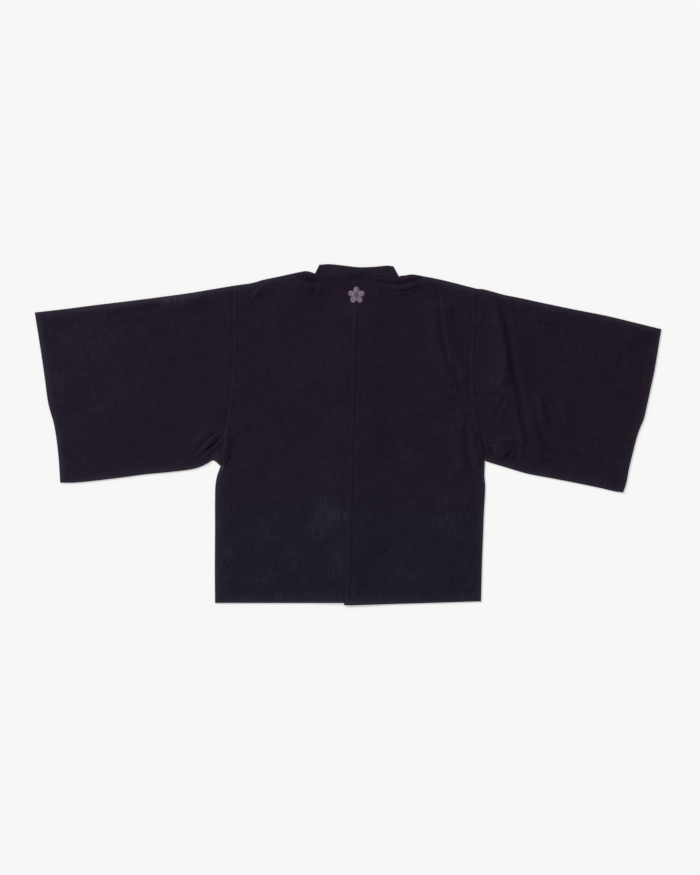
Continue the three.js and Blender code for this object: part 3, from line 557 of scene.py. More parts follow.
def dye_wear_and_painted_light(tree, tone, wear_light_and_shade):
    """The dye's colour by its place on the tunic as it lies, the weave's tone, and the wear with painted
    light and shade.
    """
    place = add(tree, "ShaderNodeTexCoord").outputs["Object"]
    split = add(tree, "ShaderNodeSeparateXYZ", {0: place}).outputs
    mottle = noise(tree, place, 60.0, 4.0, 0.7)
    # bluer towards the hem and the left cuff
    height = maths(tree, "MULTIPLY_ADD", noise(tree, place, 7.0, 5.0, 0.6), 0.28, split["Y"])
    low = ramp(tree, height, 0.24, -0.12, interpolation_type="SMOOTHSTEP")
    outer = ramp(tree, split["X"], -0.3, -0.62, 0.0, 0.7, interpolation_type="SMOOTHSTEP")
    uneven = ramp(tree, mottle, 0.3, 0.7, -0.3, 0.3)
    blue = maths(tree, "ADD", maths(tree, "MAXIMUM", low, outer), uneven, use_clamp=True)
    colour = blend(tree, blue, DYE, DYE_BLUE)
    # the worn places, in upright streaks
    fade = 0.0
    for x, y, wide, high, strength in FADED:
        there = add(tree, "ShaderNodeMapping", {"Vector": place, "Location": (-x / wide, -y / high, 0),
                                                "Scale": (1000 / wide, 1000 / high, 0)}).outputs[0]
        away = add(tree, "ShaderNodeVectorMath", {0: there}, operation="LENGTH").outputs["Value"]
        spot = ramp(tree, away, 1.25, 0.1, 0.0, strength, interpolation_type="SMOOTHSTEP")
        fade = maths(tree, "MAXIMUM", fade, spot)
    upright = add(tree, "ShaderNodeMapping", {"Vector": place, "Scale": (170, 48, 1)}).outputs[0]
    patchy = ramp(tree, noise(tree, upright, 1.0, 4.0), 0.38, 0.62)
    colour = blend(tree, maths(tree, "MULTIPLY", fade, patchy), colour, WORN)
    # pale wear together with painted highlight on the edges and seam crests
    colour = blend(tree, maths(tree, "MAXIMUM", wear_light_and_shade, 0.0), colour, PALE_WEAR_AND_HIGHLIGHT)
    # lint, on one cell in ten where the cloth is bluer
    lint = add(tree, "ShaderNodeTexVoronoi", {"Vector": place, "Scale": 95.0, "Randomness": 1.0}).outputs
    cell = add(tree, "ShaderNodeSeparateColor", {0: lint["Color"]}).outputs[0]
    chosen = maths(tree, "GREATER_THAN", cell, 0.9)
    speck = maths(tree, "MULTIPLY", ramp(tree, lint["Distance"], 0.26, 0.05), chosen)
    colour = blend(tree, maths(tree, "MULTIPLY", speck, low), colour, LINT)
    # how dark it is: uneven, darker to the right as a painted falloff of the light from the left, and darker
    # as painted shade where the per-point value is below 0
    tone = maths(tree, "MULTIPLY", ramp(tree, mottle, 0.3, 0.7, 0.9, 1.1), tone)
    tone = maths(tree, "MULTIPLY", tone, ramp(tree, split["X"], -0.6, 0.6, 1.07, 0.92))
    painted_shade = maths(tree, "ADD", maths(tree, "MINIMUM", wear_light_and_shade, 0.0), 1.0)
    tone = maths(tree, "MULTIPLY", tone, painted_shade)
    return add(tree, "ShaderNodeVectorMath", {0: colour, "Scale": tone}, operation="SCALE").outputs[0]


def cloth_material():
    made, tree, shader = material("slubbed aubergine cotton", {
        "Roughness": 0.8, "Specular IOR Level": 0.05, "Sheen Weight": 0.008, "Sheen Roughness": 0.5})
    height, tone = slub_weave(tree, add(tree, "ShaderNodeUVMap", uv_map="cut").outputs[0])
    wear_light_and_shade = add(tree, "ShaderNodeAttribute", attribute_name="wear_light_and_shade").outputs["Fac"]
    tree.links.new(dye_wear_and_painted_light(tree, tone, wear_light_and_shade), shader["Base Color"])
    tree.links.new(bump(tree, height, 0.5, 0.0002), shader["Normal"])
    return made


cotton = cloth_material()


# ---- Backs --------------------------------------------------------------------------------------
# Two panels, joined down the middle and to the sleeves by felled seams. Each seam's allowance is turned
# under and stitched down 12.5 mm away, to the left of the centre back and on the body side of the
# armholes. The hem is turned up 21 mm and stitched.
FELL = 12.5
HEM = 21
SEAM_SINK = 0.5
RELIEF = {"armhole": 0.36, "centre back": 0.6, "hem": 0.45, "cuff": 0.35}  # how high each fold stands
AT_FELL = (4.5, 6.5, 8.5, 10.9, 12.5, 14.1)  # more points at these distances from a felled seam
AT_HEM = (17.5, 19.4, 21, 22.6)
HEM_DROP = 5.3  # how much lower the hem ends at the right half's side of the centre back
HEM_LINE = (-292.5, -9.5, -8.5, 4.5, 292.5), (-370, -370, -374.8, -375.3, -366.5)


def felled(d, width, height):
    """Relief across a felled seam: sunk at the seam, rounded over its allowance, and sunk at the stitches,
    with a low swell of the cloth past them."""
    share = np.clip(d / width, 0, 1)
    relief = height * np.sin(math.pi * share)
    relief = relief - SEAM_SINK * bell(d, 0, 1.6)
    return relief - 0.3 * bell(d, width, 1.3) + 0.1 * bell(d - width, 4, 3)


def hem_y(x):
    """The back's hem in plan; the right half and the seam's allowance drop a little lower."""
    return np.interp(x, *HEM_LINE)


def back_outside(x, y):
    """Height of the backs' outer side."""
    z = upper_underside(x, y) + CLOTH
    for side in ("left", "right"):
        away = from_line(x, y, ARMHOLE[side])
        z = z + np.where(away < 30, felled(away, FELL, RELIEF["armhole"]), 0) + 0.3 * bell(away, 0, 1.8)
    away, hand = near(x, y, smooth(CENTRE_BACK, 4))[:2]
    sunk = 0.5 + 0.5 * ease(y, 330, 60)  # the seam is deeper lower down
    turned_under = felled(away, FELL, RELIEF["centre back"]) + (1 - sunk) * SEAM_SINK * bell(away, 0, 1.6)
    z = z + np.where(hand > 0, turned_under, -SEAM_SINK * sunk * bell(away, 0, 2.2))
    from_hem = y - hem_y(x)
    z = z + felled(from_hem, HEM, RELIEF["hem"]) + SEAM_SINK * bell(from_hem, 0, 1.8)
    pucker = np.sin(math.tau * y / 9.5 + 2 * np.sin(y / 23)) * bell(away, FELL, 7)
    return z + 0.07 * pucker * (hand > 0)


def panel(side, beyond, inner, steps, finer=((), ()), last=AT_FELL):
    """A panel's plan points, from its side to its inner edge. Its top runs past the shoulder through
    more points. The steps, and where they are finer, are across and up."""
    caught = (-INWARD[side] * CAUGHT, 0)
    body_side = np.vstack([smooth(SIDE[side]), smooth(ARMHOLE[side])[1:] + caught])
    shoulder = smooth(SHOULDER[side]) + caught
    top = np.vstack([shoulder, beyond])
    wide, tall = length_of(top), length_of(body_side)
    across = spaced([0, length_of(shoulder) / wide, 1], wide, steps[0], finer[0], AT_FELL, last)
    up = spaced([0, length_of(smooth(SIDE[side])) / tall, 1], tall, steps[1], finer[1], AT_HEM)
    return spread(np.array([body_side[0], inner[0]]), top, body_side, inner, across, up)


def rounding(x, y, side):
    """From 0 at a panel's side, shoulder and hem to 1 at 2.2 mm in, for its rounded edge."""
    edge = np.minimum(from_line(x, y, SIDE[side]), from_line(x, y, SHOULDER[side]))
    return rounded(np.minimum(edge, 1.3 * (y - y[0][None, :])), 2.2)


for side in ("left", "right"):
    neck = neck_edge("back")
    middle = int(np.argmin(np.abs(neck[:, 0] - CENTRE_BACK[-1][0])))
    centre = smooth(CENTRE_BACK) + (INWARD[side] * CAUGHT, 0)
    if side == "right":
        centre[0, 1] -= HEM_DROP
        neck = neck[:middle - 1:-1]
    else:
        neck = neck[:middle + 1]
    # finer beside the armholes, and up by the armpits' and the neck's creases
    plan = panel(side, np.vstack([neck[2:-1], centre[-1:]]), centre, (3.3, 3.3),
                 ([(0, 66, 2.2)], [(265, 400, 2.2), (640, 720, 2.2)]))
    x, y = plan[..., 0], plan[..., 1]
    if side == "left":  # the allowance of the centre back's seam shows below the hem
        y -= 5 * ease(x, -9.6, -8.6) * (1 - ease(y, -370, -330))
    underside = upper_underside(x, y)
    outside = underside + (back_outside(x, y) - underside) * (0.2 + 0.8 * rounding(x, y, side))
    back = wall(f"back_{side}_cloth", plan, underside, outside)
    back.data.materials.append(cotton)
    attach(back, "root")
    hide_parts(f"back_{side}")


# ---- Fronts -------------------------------------------------------------------------------------
# The left front lies lowest, and is outermost when the tunic is worn. Its edge is turned back 32 mm as
# the placket. The right front laps over it as they lie. Both end at the collar's seam.
PLACKET = 32
FRONTS = {  # the edge's place past the centre front, the hem's place there, and the rise
    "left": (15, -368.5, front_left_rise),
    "right": (-12, -371, front_right_rise),
}


def front_hem(side):
    """The hem's two ends, from the left."""
    edge_past, hem, _ = FRONTS[side]
    return sorted([SIDE[side][0], (FRONT_X[0] + edge_past, hem)])


def front_outside(x, y, side):
    """Height of a front's outer side, which faces down, with its seams and stitches sunk in it."""
    edge_past, _, rise = FRONTS[side]
    hem_line = np.interp(x, *np.array(front_hem(side)).T)
    dent = 0.35 * bell(from_line(x, y, ARMHOLE[side]), FELL, 1.3)
    dent += 0.35 * bell(y - hem_line, HEM, 1.4)
    return rise(x, y) + dent + 0.3 * bell(np.abs(past_centre_front(x, y) - edge_past), PLACKET, 1.3)


for side, (edge_past, hem, rise) in FRONTS.items():
    # past its own half of the neck, the lap's top runs along the other half, to the edge's corner
    way = INWARD[side]
    other = neck_edge("right" if side == "left" else "left")
    corner_x = FRONT_X[1] + edge_past
    corner = (corner_x, np.interp(way * corner_x, way * other[:, 0], other[:, 1]))
    lap = other[way * other[:, 0] < way * corner_x - 3]
    lap = lap[np.abs(lap[:, 0] - FRONT_X[1]) > 2]
    plan = panel(side, np.vstack([neck_edge(side)[::-1][3:], lap, [corner]]),
                 np.array([(FRONT_X[0] + edge_past, hem), corner]), (4.2, 4.6), last=(30.6, 32, 33.4))
    x, y = plan[..., 0], plan[..., 1]
    underside = front_outside(x, y, side) + 0.8 * CLOTH * (1 - rounding(x, y, side))
    outside = rise(x, y) + CLOTH
    front = wall(f"front_{side}_cloth", plan, underside, outside)
    front.data.materials.append(cotton)
    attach(front, "root")
    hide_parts(f"front_{side}")


# ---- Sleeves ------------------------------------------------------------------------------------
# Each is one wide straight panel, folded along its top and seamed along the underarm, so a flat tube.
# The mouth is turned in 21 mm and stitched.
def sleeve_outside(x, y, side):
    """Height of a sleeve's outer side, on its upper half."""
    z = upper_underside(x, y) + CLOTH
    away = from_line(x, y, ARMHOLE[side])
    z = z - 0.2 * bell(away, 0, 1.8) + 0.25 * bell(away, 6, 4)
    mouth = from_line(x, y, CUFF[side])
    return z + felled(mouth, HEM, RELIEF["cuff"]) + SEAM_SINK * bell(mouth, 0, 1.8)


for side in ("left", "right"):
    armhole, cuff = smooth(ARMHOLE[side]) + (INWARD[side] * CAUGHT, 0), smooth(CUFF[side])
    low, high = smooth(SLEEVE_BOTTOM[side]), smooth(SLEEVE_TOP[side])
    low[0], high[0] = armhole[0], armhole[-1]
    tall = length_of(armhole)
    # finer by the armhole and the armpit
    across = spaced([0, 1], length_of(high), 3.3, [(0, 130, 2.1)], (6,), AT_HEM)
    up = spaced([0, 1], tall, 3.3, [(0, 105, 2.1)])
    middle = (UPPER + CLOTH) / 2
    rings = []
    for inset, radius in ((0, 2.0), (CLOTH, 1.2)):  # the outer skin, then the inner one
        plan = spread(low, high, armhole, cuff, across, inset / tall + up * (1 - 2 * inset / tall))
        x, y = plan[..., 0], plan[..., 1]
        edge = np.minimum(from_line(x, y, SLEEVE_BOTTOM[side]), from_line(x, y, SLEEVE_TOP[side]))
        open_share = rounded(np.maximum(edge - inset, 0), radius)
        open_share[0], open_share[-1] = 0, 0
        mouth = from_line(x, y, CUFF[side])
        if inset == 0:
            above = sleeve_outside(x, y, side) - middle - 0.5 * (1 - rounded(mouth, 1.3))
            below = middle - 0.3 * bell(mouth, HEM, 1.3)
        else:
            above = upper_underside(x, y) - middle
            below = middle - inset
        upper = np.concatenate([plan, (middle + above * open_share)[..., None]], 2)
        lower = np.concatenate([plan, (middle - below * open_share)[..., None]], 2)
        rings.append(np.concatenate([upper, lower[-2:0:-1]], 0).transpose(1, 0, 2))
    stations, round_ = rings[0].shape[:2]
    at = numbered(stations, round_)
    ahead = np.roll(at, -1, axis=1)
    skin = tube_faces(at)
    inner = stations * round_
    quads = np.concatenate([
        skin, skin[:, ::-1] + inner,
        np.stack([at[0], ahead[0], ahead[0] + inner, at[0] + inner], 1),
        np.stack([ahead[-1], at[-1], at[-1] + inner, ahead[-1] + inner], 1)])
    girth = np.concatenate([up * tall, (2 - up[-2:0:-1]) * tall])
    cut = np.stack(np.meshgrid(girth, across * length_of(high)), 2).reshape(-1, 2)
    points = np.concatenate([r.reshape(-1, 3) for r in rings])
    sleeve = cloth_mesh(f"sleeve_{side}_cloth", points, quads, np.tile(cut, (2, 1)), wear_light_and_shade_at(*points.T[:2]))
    sleeve.data.materials.append(cotton)
    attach(sleeve, "root")
    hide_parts(f"sleeve_{side}")
    long, round_arm, area = {"left": (0.44, 0.8, 0.308), "right": (0.415, 0.76, 0.281)}[side]


# ---- Topstitching -------------------------------------------------------------------------------
# One row of lockstitch in the cloth's own colour holds each felled seam, hem and placket, about eight
# stitches to 25 mm. Each stitch is a short length of twisted thread, half sunk in the cloth.
def grown(name, lines, tree, **sizes):
    """A plain mesh that a node tree makes along lines of points in millimetres."""
    points = np.concatenate(lines) * MM
    ends = np.cumsum([len(line) for line in lines])
    edges = [(i, i + 1) for i in range(len(points) - 1) if i + 1 not in ends]
    paths = bpy.data.meshes.new(name + "_paths")
    paths.from_pydata(points.tolist(), edges, [])
    obj = linked(name, paths)
    grow = obj.modifiers.new("grow", "NODES")
    grow.node_group = tree
    for item in tree.interface.items_tree:
        if item.in_out == "INPUT" and item.name in sizes:
            grow[item.identifier] = sizes[item.name]
    made = bpy.data.meshes.new_from_object(obj.evaluated_get(bpy.context.evaluated_depsgraph_get()))
    obj.modifiers.remove(grow)
    obj.data = made
    made.name = name
    bpy.data.meshes.remove(paths)
    return obj


def along_paths(name, sizes, shape):
    """A tree that grows a shape along paths. It takes a material, and these sizes in metres."""
    tree = bpy.data.node_groups.new(name, "GeometryNodeTree")
    sockets = [("Geometry", "Geometry", None), *[(label, "Float", value) for label, value in sizes.items()],
               ("Material", "Material", None)]
    for label, kind, value in sockets:
        made = tree.interface.new_socket(label, in_out="INPUT", socket_type="NodeSocket" + kind)
        if value is not None:
            made.default_value = value
    tree.interface.new_socket("Geometry", in_out="OUTPUT", socket_type="NodeSocketGeometry")
    given = tree.nodes.new("NodeGroupInput").outputs
    curves = add(tree, "GeometryNodeMeshToCurve", {"Mesh": given["Geometry"]}).outputs[0]
    whole = add(tree, "GeometryNodeRealizeInstances", {"Geometry": shape(tree, given, curves)}).outputs[0]
    soft = add(tree, "GeometryNodeSetShadeSmooth", {"Geometry": whole}).outputs[0]
    dyed = add(tree, "GeometryNodeSetMaterial", {"Geometry": soft, "Material": given["Material"]}).outputs[0]
    tree.links.new(dyed, tree.nodes.new("NodeGroupOutput").inputs["Geometry"])
    return tree


def stitches_on(tree, given, curves):
    """A row of stitches: an oval bead of thread at each pitch along the paths."""
    spacing = {"Curve": curves, "Length": given["Pitch"]}
    places = add(tree, "GeometryNodeCurveToPoints", spacing, mode="LENGTH").outputs
    turn = add(tree, "FunctionNodeAlignRotationToVector", {"Vector": places["Tangent"]}, axis="X").outputs[0]
    thick = given["Thickness"]
    size = add(tree, "ShaderNodeCombineXYZ", {"X": given["Length"], "Y": thick, "Z": thick}).outputs[0]
    bead = add(tree, "GeometryNodeMeshUVSphere", {"Segments": 6, "Rings": 4, "Radius": 0.5}).outputs["Mesh"]
    return add(tree, "GeometryNodeInstanceOnPoints", {
        "Points": places["Points"], "Instance": bead, "Rotation": turn, "Scale": size}).outputs[0]


def strands_on(tree, given, curves):
    """A round strand of thread along each path."""
    across = maths(tree, "MULTIPLY", given["Thickness"], 0.5)
    section = add(tree, "GeometryNodeCurvePrimitiveCircle", {"Resolution": 5, "Radius": across}).outputs[0]
    swept = {"Curve": curves, "Profile Curve": section, "Fill Caps": True}
    return add(tree, "GeometryNodeCurveToMesh", swept).outputs[0]


STITCHES = along_paths("stitch_run", {"Pitch": 0.0032, "Length": 0.0026, "Thickness": 0.00038}, stitches_on)
STRANDS = along_paths("thread_strands", {"Thickness": 0.0003}, strands_on)


def thread_material(name, dark, light, twist, shine):
    """Twisted thread: fine ridges across it, and a colour that varies from place to place."""
    made, tree, shader = material(name, {"Roughness": 0.6, "Specular IOR Level": shine})
    place = add(tree, "ShaderNodeTexCoord").outputs["Object"]
    share = ramp(tree, noise(tree, place, 340.0, 3.0), 0.35, 0.65)
    tree.links.new(blend(tree, share, (*dark, 1), light), shader["Base Color"])
    fibre = add(tree, "ShaderNodeTexWave", {"Vector": place, "Scale": twist, "Distortion": 4.0, "Detail": 2.0,
                                            "Detail Scale": 3.0}, bands_direction="DIAGONAL").outputs["Fac"]
    tree.links.new(bump(tree, fibre, 0.4, 0.0001), shader["Normal"])
    return made


SEWING = (0.0062, 0.0045, 0.0088), (0.012, 0.0095, 0.016)
sewing_thread = thread_material("aubergine sewing thread", *SEWING, 900.0, 0.1)
STITCH_LIFT = 0.03  # from the cloth's outer side to the middle of a stitch
CUFF_UNDER = 0.27  # the stitches of a cuff's lower side, above the floor


def row_on(line, height, lift=STITCH_LIFT):
    """A row's points: its line in plan, set on a height and moved up a little."""
    return np.concatenate([line, (height(line[:, 0], line[:, 1]) + lift)[:, None]], 1)


def trimmed(line, first, last, step=2.0):
    """The line without this much of its ends, in even steps."""
    whole = length_of(line)
    count = max(2, round((whole - first - last) / step))
    return along(line, np.linspace(first / whole, 1 - last / whole, count))


def hem_row(start, end, hem):
    """A row a hem's width from a hem."""
    x = np.arange(start, end, 2.0)
    return np.stack([x, hem(x) + HEM], 1)


seam = trimmed(moved(smooth(CENTRE_BACK), FELL), 3, 4)
hems = [hem_row(start, end, hem_y) for start, end in ((-289, -10), (6, 289))]
stitch_rows = {"back": [row_on(line, back_outside) for line in (seam, *hems)], "front": [], "cuff": []}
for side in ("left", "right"):
    body = -INWARD[side]  # which side of an armhole and of a cuff the body lies on, as they run up
    seam = trimmed(moved(smooth(ARMHOLE[side]), body * FELL), 5, 4)
    stitch_rows["back"].append(row_on(seam, back_outside))
    mouth = trimmed(moved(smooth(CUFF[side]), body * HEM), 3, 3)
    stitch_rows["cuff"].append(row_on(mouth, lambda x, y: sleeve_outside(x, y, side)))
    stitch_rows["cuff"].append(np.concatenate([mouth, np.full((len(mouth), 1), CUFF_UNDER)], 1))
    ends = np.array(front_hem(side)).T
    across = hem_row(ends[0][0] + 3, ends[0][1] - 3, lambda x: np.interp(x, *ends))
    inner = FRONT_X[0] + FRONTS[side][0] + body * PLACKET
    placket = trimmed(np.array([(inner, -367), (inner + FRONT_X[1] - FRONT_X[0], 268)]), 2, 3)
    for line in (seam, across, placket):
        stitch_rows["front"].append(row_on(line, lambda x, y: front_outside(x, y, side), -STITCH_LIFT))
for name, rows in stitch_rows.items():
    stitches = grown(f"{name}_stitches", rows, STITCHES, Material=sewing_thread)
    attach(stitches, "root")


# ---- Collar -------------------------------------------------------------------------------------
# A stand collar of two plies and an interlining, cut as one curved band. Its back half lies above and
# its front half below, turned over at each side. Rows of stitching follow its top edge.
COLLAR_CLOTH = 1.6
COLLAR_TOP = {  # the top edge, row for row with the seam
    "back": [(-61, 374), (-42, 375.3), (-12, 372.5), (24, 368.5), (58, 369.5), (89, 372), (98, 370.5)],
    "left": [(16.5, 297.5), (-5, 302), (-24, 313), (-37, 329), (-45, 345), (-61, 374)],
    "right": [(17.5, 297.5), (42, 301), (61, 311), (74, 326), (83, 341), (98, 370.5)],
}
COLLAR_TALL = 27
COLLAR_ROWS = (4.0, 7.0, 10.0, 14.4)  # stitching, measured down from the top edge
low, high = COLLAR_CLOTH / 2, 1.5 * COLLAR_CLOTH + GAP
turn_radius = (high - low) / 2


def flat_band(name, z, backwards=False):
    """The collar's seam and top edge where it lies flat, and which way is outwards there."""
    seam, top = smooth(NECK_SEAM[name], 14), smooth(COLLAR_TOP[name], 14)
    if backwards:
        seam, top = seam[::-1], top[::-1]
    up = np.zeros((len(seam), 3)) + (0, 0, 1 if name == "back" else -1)
    height = np.full((len(seam), 1), z)
    return np.concatenate([seam, height], 1), np.concatenate([top, height], 1), up


def turned_band(seam, top, outward, angles):
    """The same where the collar turns over at one side."""
    run = np.array([*(np.array(top) - seam), 0])
    run /= np.linalg.norm(run)
    aside = np.array([run[1], -run[0], 0]) * outward
    angles = np.radians(angles)[:, None]
    normal = aside * np.cos(angles) + np.array([0, 0, 1]) * np.sin(angles)
    shift = turn_radius * normal + np.array([0, 0, (low + high) / 2])
    return np.array([*seam, 0]) + shift, np.array([*top, 0]) + shift, normal


TURN = np.linspace(-75, 75, 7)
bands = [
    flat_band("left", low),
    turned_band(NECK_SEAM["back"][0], COLLAR_TOP["back"][0], -1, TURN),
    flat_band("back", high),
    turned_band(NECK_SEAM["back"][-1], COLLAR_TOP["back"][-1], 1, TURN[::-1]),
    flat_band("right", low, backwards=True),
]
seam, top, normal = (np.concatenate([band[i] for band in bands]) for i in range(3))
down = np.unique(np.concatenate([
    [0, 0.2, 0.6, 1.2], np.arange(2.2, COLLAR_TALL - 1, 1.3), COLLAR_TALL - np.array([0.9, 0.3, 0]),
    *[[row - 0.7, row, row + 0.7] for row in COLLAR_ROWS]]))
share = (down / COLLAR_TALL)[None, :, None]
middle = top[:, None] * (1 - share) + seam[:, None] * share


def collar_relief(distance):
    grooves = sum(bell(distance, row, 0.75) for row in COLLAR_ROWS)
    return -0.3 * grooves + 0.15 * bell(distance, 2.2, 1.2)


from_rim = np.minimum(down, COLLAR_TALL - down)
rim = rounded(down, 1.1) * rounded(COLLAR_TALL - down, 0.5)
slack = undulation(middle[..., 0], middle[..., 1], 17, 18, 80, 0.02)
slack = slack * ease(COLLAR_TALL - down, 0, 6) * ease(down, 0, 5)
out = COLLAR_CLOTH / 2 * rim + collar_relief(down) * ease(from_rim, 0, 2)
upward = normal[:, None, 2]
out = out + np.maximum(slack, -0.2) * np.maximum(upward, 0)
out = out - 0.15 * ease(from_rim, 0, 2) * np.maximum(-upward, 0)
outer = middle + normal[:, None] * out[..., None]
inner = middle - normal[:, None] * (COLLAR_CLOTH / 2 * rim)[None, :, None]
outer[:, 0] = inner[:, 0] = middle[:, 0]
outer[:, -1] = inner[:, -1] = middle[:, -1]
ring = np.concatenate([outer, inner[:, -2:0:-1]], 1)
stations, round_ = ring.shape[:2]
at = numbered(stations, round_)
back_round = np.concatenate([at[:, :1], at[:, :0:-1]], 1)  # each outer point's partner on the inner side
last = len(down) - 1
caps = [np.stack([at[s, :last], at[s, 1:last + 1], back_round[s, 1:last + 1], back_round[s, :last]], 1)
        for s in (0, -1)]
quads = np.concatenate([tube_faces(at), caps[0], caps[1][:, ::-1]])
cut = np.stack(np.meshgrid(np.concatenate([down, down[-2:0:-1]]), run_of(seam)), 2)[..., ::-1].reshape(-1, 2)
# The collar's outer side: pale, most at its top edge, as wear together with painted highlight; painted shade
# in its stitch grooves and low across the middle of its back half.
wear_light_and_shade = np.zeros(ring.shape[:2])
wear_light_and_shade[:, :len(down)] = 0.17 + 1.2 * np.exp(-down / 6) + 0.1 * np.exp(-(COLLAR_TALL - down) / 2)
wear_light_and_shade[:, :len(down)] -= 0.26 * sum(bell(down, row, 0.9) for row in COLLAR_ROWS[:3])
shade_at_middle = bell(middle[:, :len(down), 0], 20, 27) * (upward > 0)
wear_light_and_shade[:, :len(down)] -= 0.42 * shade_at_middle * ease(down, 10, 17)
collar = cloth_mesh("collar_cloth", ring.reshape(-1, 3), quads, cut, wear_light_and_shade.ravel())
collar.data.materials.append(cotton)
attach(collar, "root")
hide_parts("collar")
rows = [outer[3:-3, np.argmin(np.abs(down - row))] + normal[3:-3] * 0.05 for row in COLLAR_ROWS]
stitches = grown("collar_stitches", rows, STITCHES, Material=sewing_thread)
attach(stitches, "root")


# ---- Buttons and buttonholes --------------------------------------------------------------------
# Five near-black resin shirt buttons, 18 mm across, with a rolled rim and four holes. They are sewn to
# the right front and show on the outside of the left one, so they lie lowest, faces down.
BUTTON_FACE = [  # radius and height, from the middle of the face round the rim to the back
    (2.2, 0.8), (4.6, 0.72), (5.6, 0.45), (6.4, 0.14), (7.1, 0.01), (7.8, 0.04), (8.5, 0.3), (8.9, 0.75),
    (9, 1.1), (8.85, 1.5), (8.4, 1.85), (7.6, 1.98), (4, 2), (1.5, 2),
]
BUTTON_SIDES = 48
BUTTON_TURN = 0.13  # radians from each button to the next
HOLE_AT = 2.0
HOLE_RADIUS = 0.95
HOLE_THREAD = [  # a strand from hole to hole: place across the button, and height
    (-2, 3.9), (-2, 1.1), (-1.7, 0.62), (-1.1, 0.45), (1.1, 0.45), (1.7, 0.62), (2, 1.1), (2, 3.9),
]
BUTTONHOLE_LONG, BUTTONHOLE_WIDE = 18, 2.6
turned = bpy.data.meshes.new("button_blank")
shape = bmesh.new()
rings = []
for radius, z in BUTTON_FACE:
    rings.append([shape.verts.new((radius * MM * math.cos(a), radius * MM * math.sin(a), z * MM))
                  for a in np.linspace(0, math.tau, BUTTON_SIDES, endpoint=False)])
for one, two in zip(rings[:-1], rings[1:]):
    for k in range(BUTTON_SIDES):
        after = (k + 1) % BUTTON_SIDES
        shape.faces.new((one[k], two[k], two[after], one[after]))
shape.faces.new(rings[0])
shape.faces.new(rings[-1][::-1])
bmesh.ops.recalc_face_normals(shape, faces=shape.faces)
shape.to_mesh(turned)
shape.free()
drill = bmesh.new()
for x in (-HOLE_AT, HOLE_AT):
    for y in (-HOLE_AT, HOLE_AT):
        bmesh.ops.create_cone(drill, cap_ends=True, segments=14, radius1=HOLE_RADIUS * MM,
                              radius2=HOLE_RADIUS * MM, depth=6 * MM,
                              matrix=Matrix.Translation((x * MM, y * MM, 1 * MM)))
drills = bpy.data.meshes.new("drills")
drill.to_mesh(drills)
drill.free()
blank = linked("button_blank", turned)
cutter = linked("drills", drills)
cut_holes = blank.modifiers.new("holes", "BOOLEAN")
cut_holes.object = cutter
cut_holes.solver = "EXACT"
drilled = bpy.data.meshes.new_from_object(blank.evaluated_get(bpy.context.evaluated_depsgraph_get()))
bpy.data.objects.remove(blank)
bpy.data.objects.remove(cutter)


def resin_material():
    """Near-black resin with faint cloudy streaks and fine wear."""
    made, tree, shader = material("near-black resin", {})
    place = add(tree, "ShaderNodeTexCoord").outputs["Object"]
    cloud = noise(tree, place, 120.0, 4.0, bend=1.4)
    tree.links.new(blend(tree, cloud, (0.006, 0.005, 0.008, 1), (0.018, 0.015, 0.02)), shader["Base Color"])
    tree.links.new(ramp(tree, noise(tree, place, 900.0, 3.0), 0.0, 1.0, 0.28, 0.48), shader["Roughness"])
    return made


resin = resin_material()
fastening, buttonholes = [], []
for number, (x, y) in enumerate(BUTTONS, 1):
    angle = BUTTON_TURN * number
    button = linked(f"button_{number}_resin", drilled.copy())
    button.data.transform(Matrix.Translation((x * MM, y * MM, 0)) @ Matrix.Rotation(angle, 4, "Z"))
    button.data.materials.clear()
    button.data.materials.append(resin)
    button.data.polygons.foreach_set("use_smooth", np.ones(len(button.data.polygons), bool))
    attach(button, "root")
    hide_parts(f"button_{number}")
    turn = np.array([[math.cos(angle), math.sin(angle)], [-math.sin(angle), math.cos(angle)]])
    path = np.array(HOLE_THREAD)
    for across_y in (-HOLE_AT, HOLE_AT):
        for aside in (-0.35, 0, 0.35):
            flat = np.stack([path[:, 0], np.full(len(path), across_y + aside)], 1) @ turn + (x, y)
            fastening.append(np.concatenate([flat, path[:, 1:]], 1))
    # threads across the buttonhole's edge: round both ends, then along both sides
    wide, long = BUTTONHOLE_WIDE / 2, BUTTONHOLE_LONG / 2
    ring_at = np.linspace(0, math.tau, 64, endpoint=False)
    out = np.stack([np.cos(ring_at), np.sin(ring_at)], 1)
    ends = (x, y) + out * wide + np.stack([0 * ring_at, long * np.sign(np.sin(ring_at))], 1)
    places = np.arange(-long, long + 0.1, 0.5)
    sides = [((x + wide * way, y + t), (way, 0)) for way in (-1, 1) for t in places]
    for centre, way in [*zip(ends, out), *sides]:
        thread = np.array([np.array(centre) + np.array(way) * t for t in (-0.9, 0, 0.9)])
        buttonholes.append(np.concatenate([thread, [[2.27], [2.2], [2.27]]], 1))
for name, lines, size in (("button_threads", fastening, 0.00034),
                          ("buttonhole_threads", buttonholes, 0.0003)):
    strands = grown(name, lines, STRANDS, Thickness=size, Material=sewing_thread)
    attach(strands, "root")


# ---- Embroidered flower -------------------------------------------------------------------------
# A plain five-petalled flower below the collar, in dusty mauve satin stitch over a padding of the same
# thread. Each petal is worked from its midline to its edge, with a corded outline and knots in its middle.
FLOWER = {"x": 18.5, "y": 306.5, "radius": 18.6, "waist": 8.3, "petals": 5}
SATIN_THREADS = 34  # on each half of a petal
PETAL_TURN = math.tau / FLOWER["petals"]


def petal_edge(angle):
    """The outline's radius at an angle from a petal's midline."""
    lobe = np.abs(np.cos(FLOWER["petals"] * np.asarray(angle) / 2)) ** 0.7
    return FLOWER["waist"] + (FLOWER["radius"] - FLOWER["waist"]) * lobe


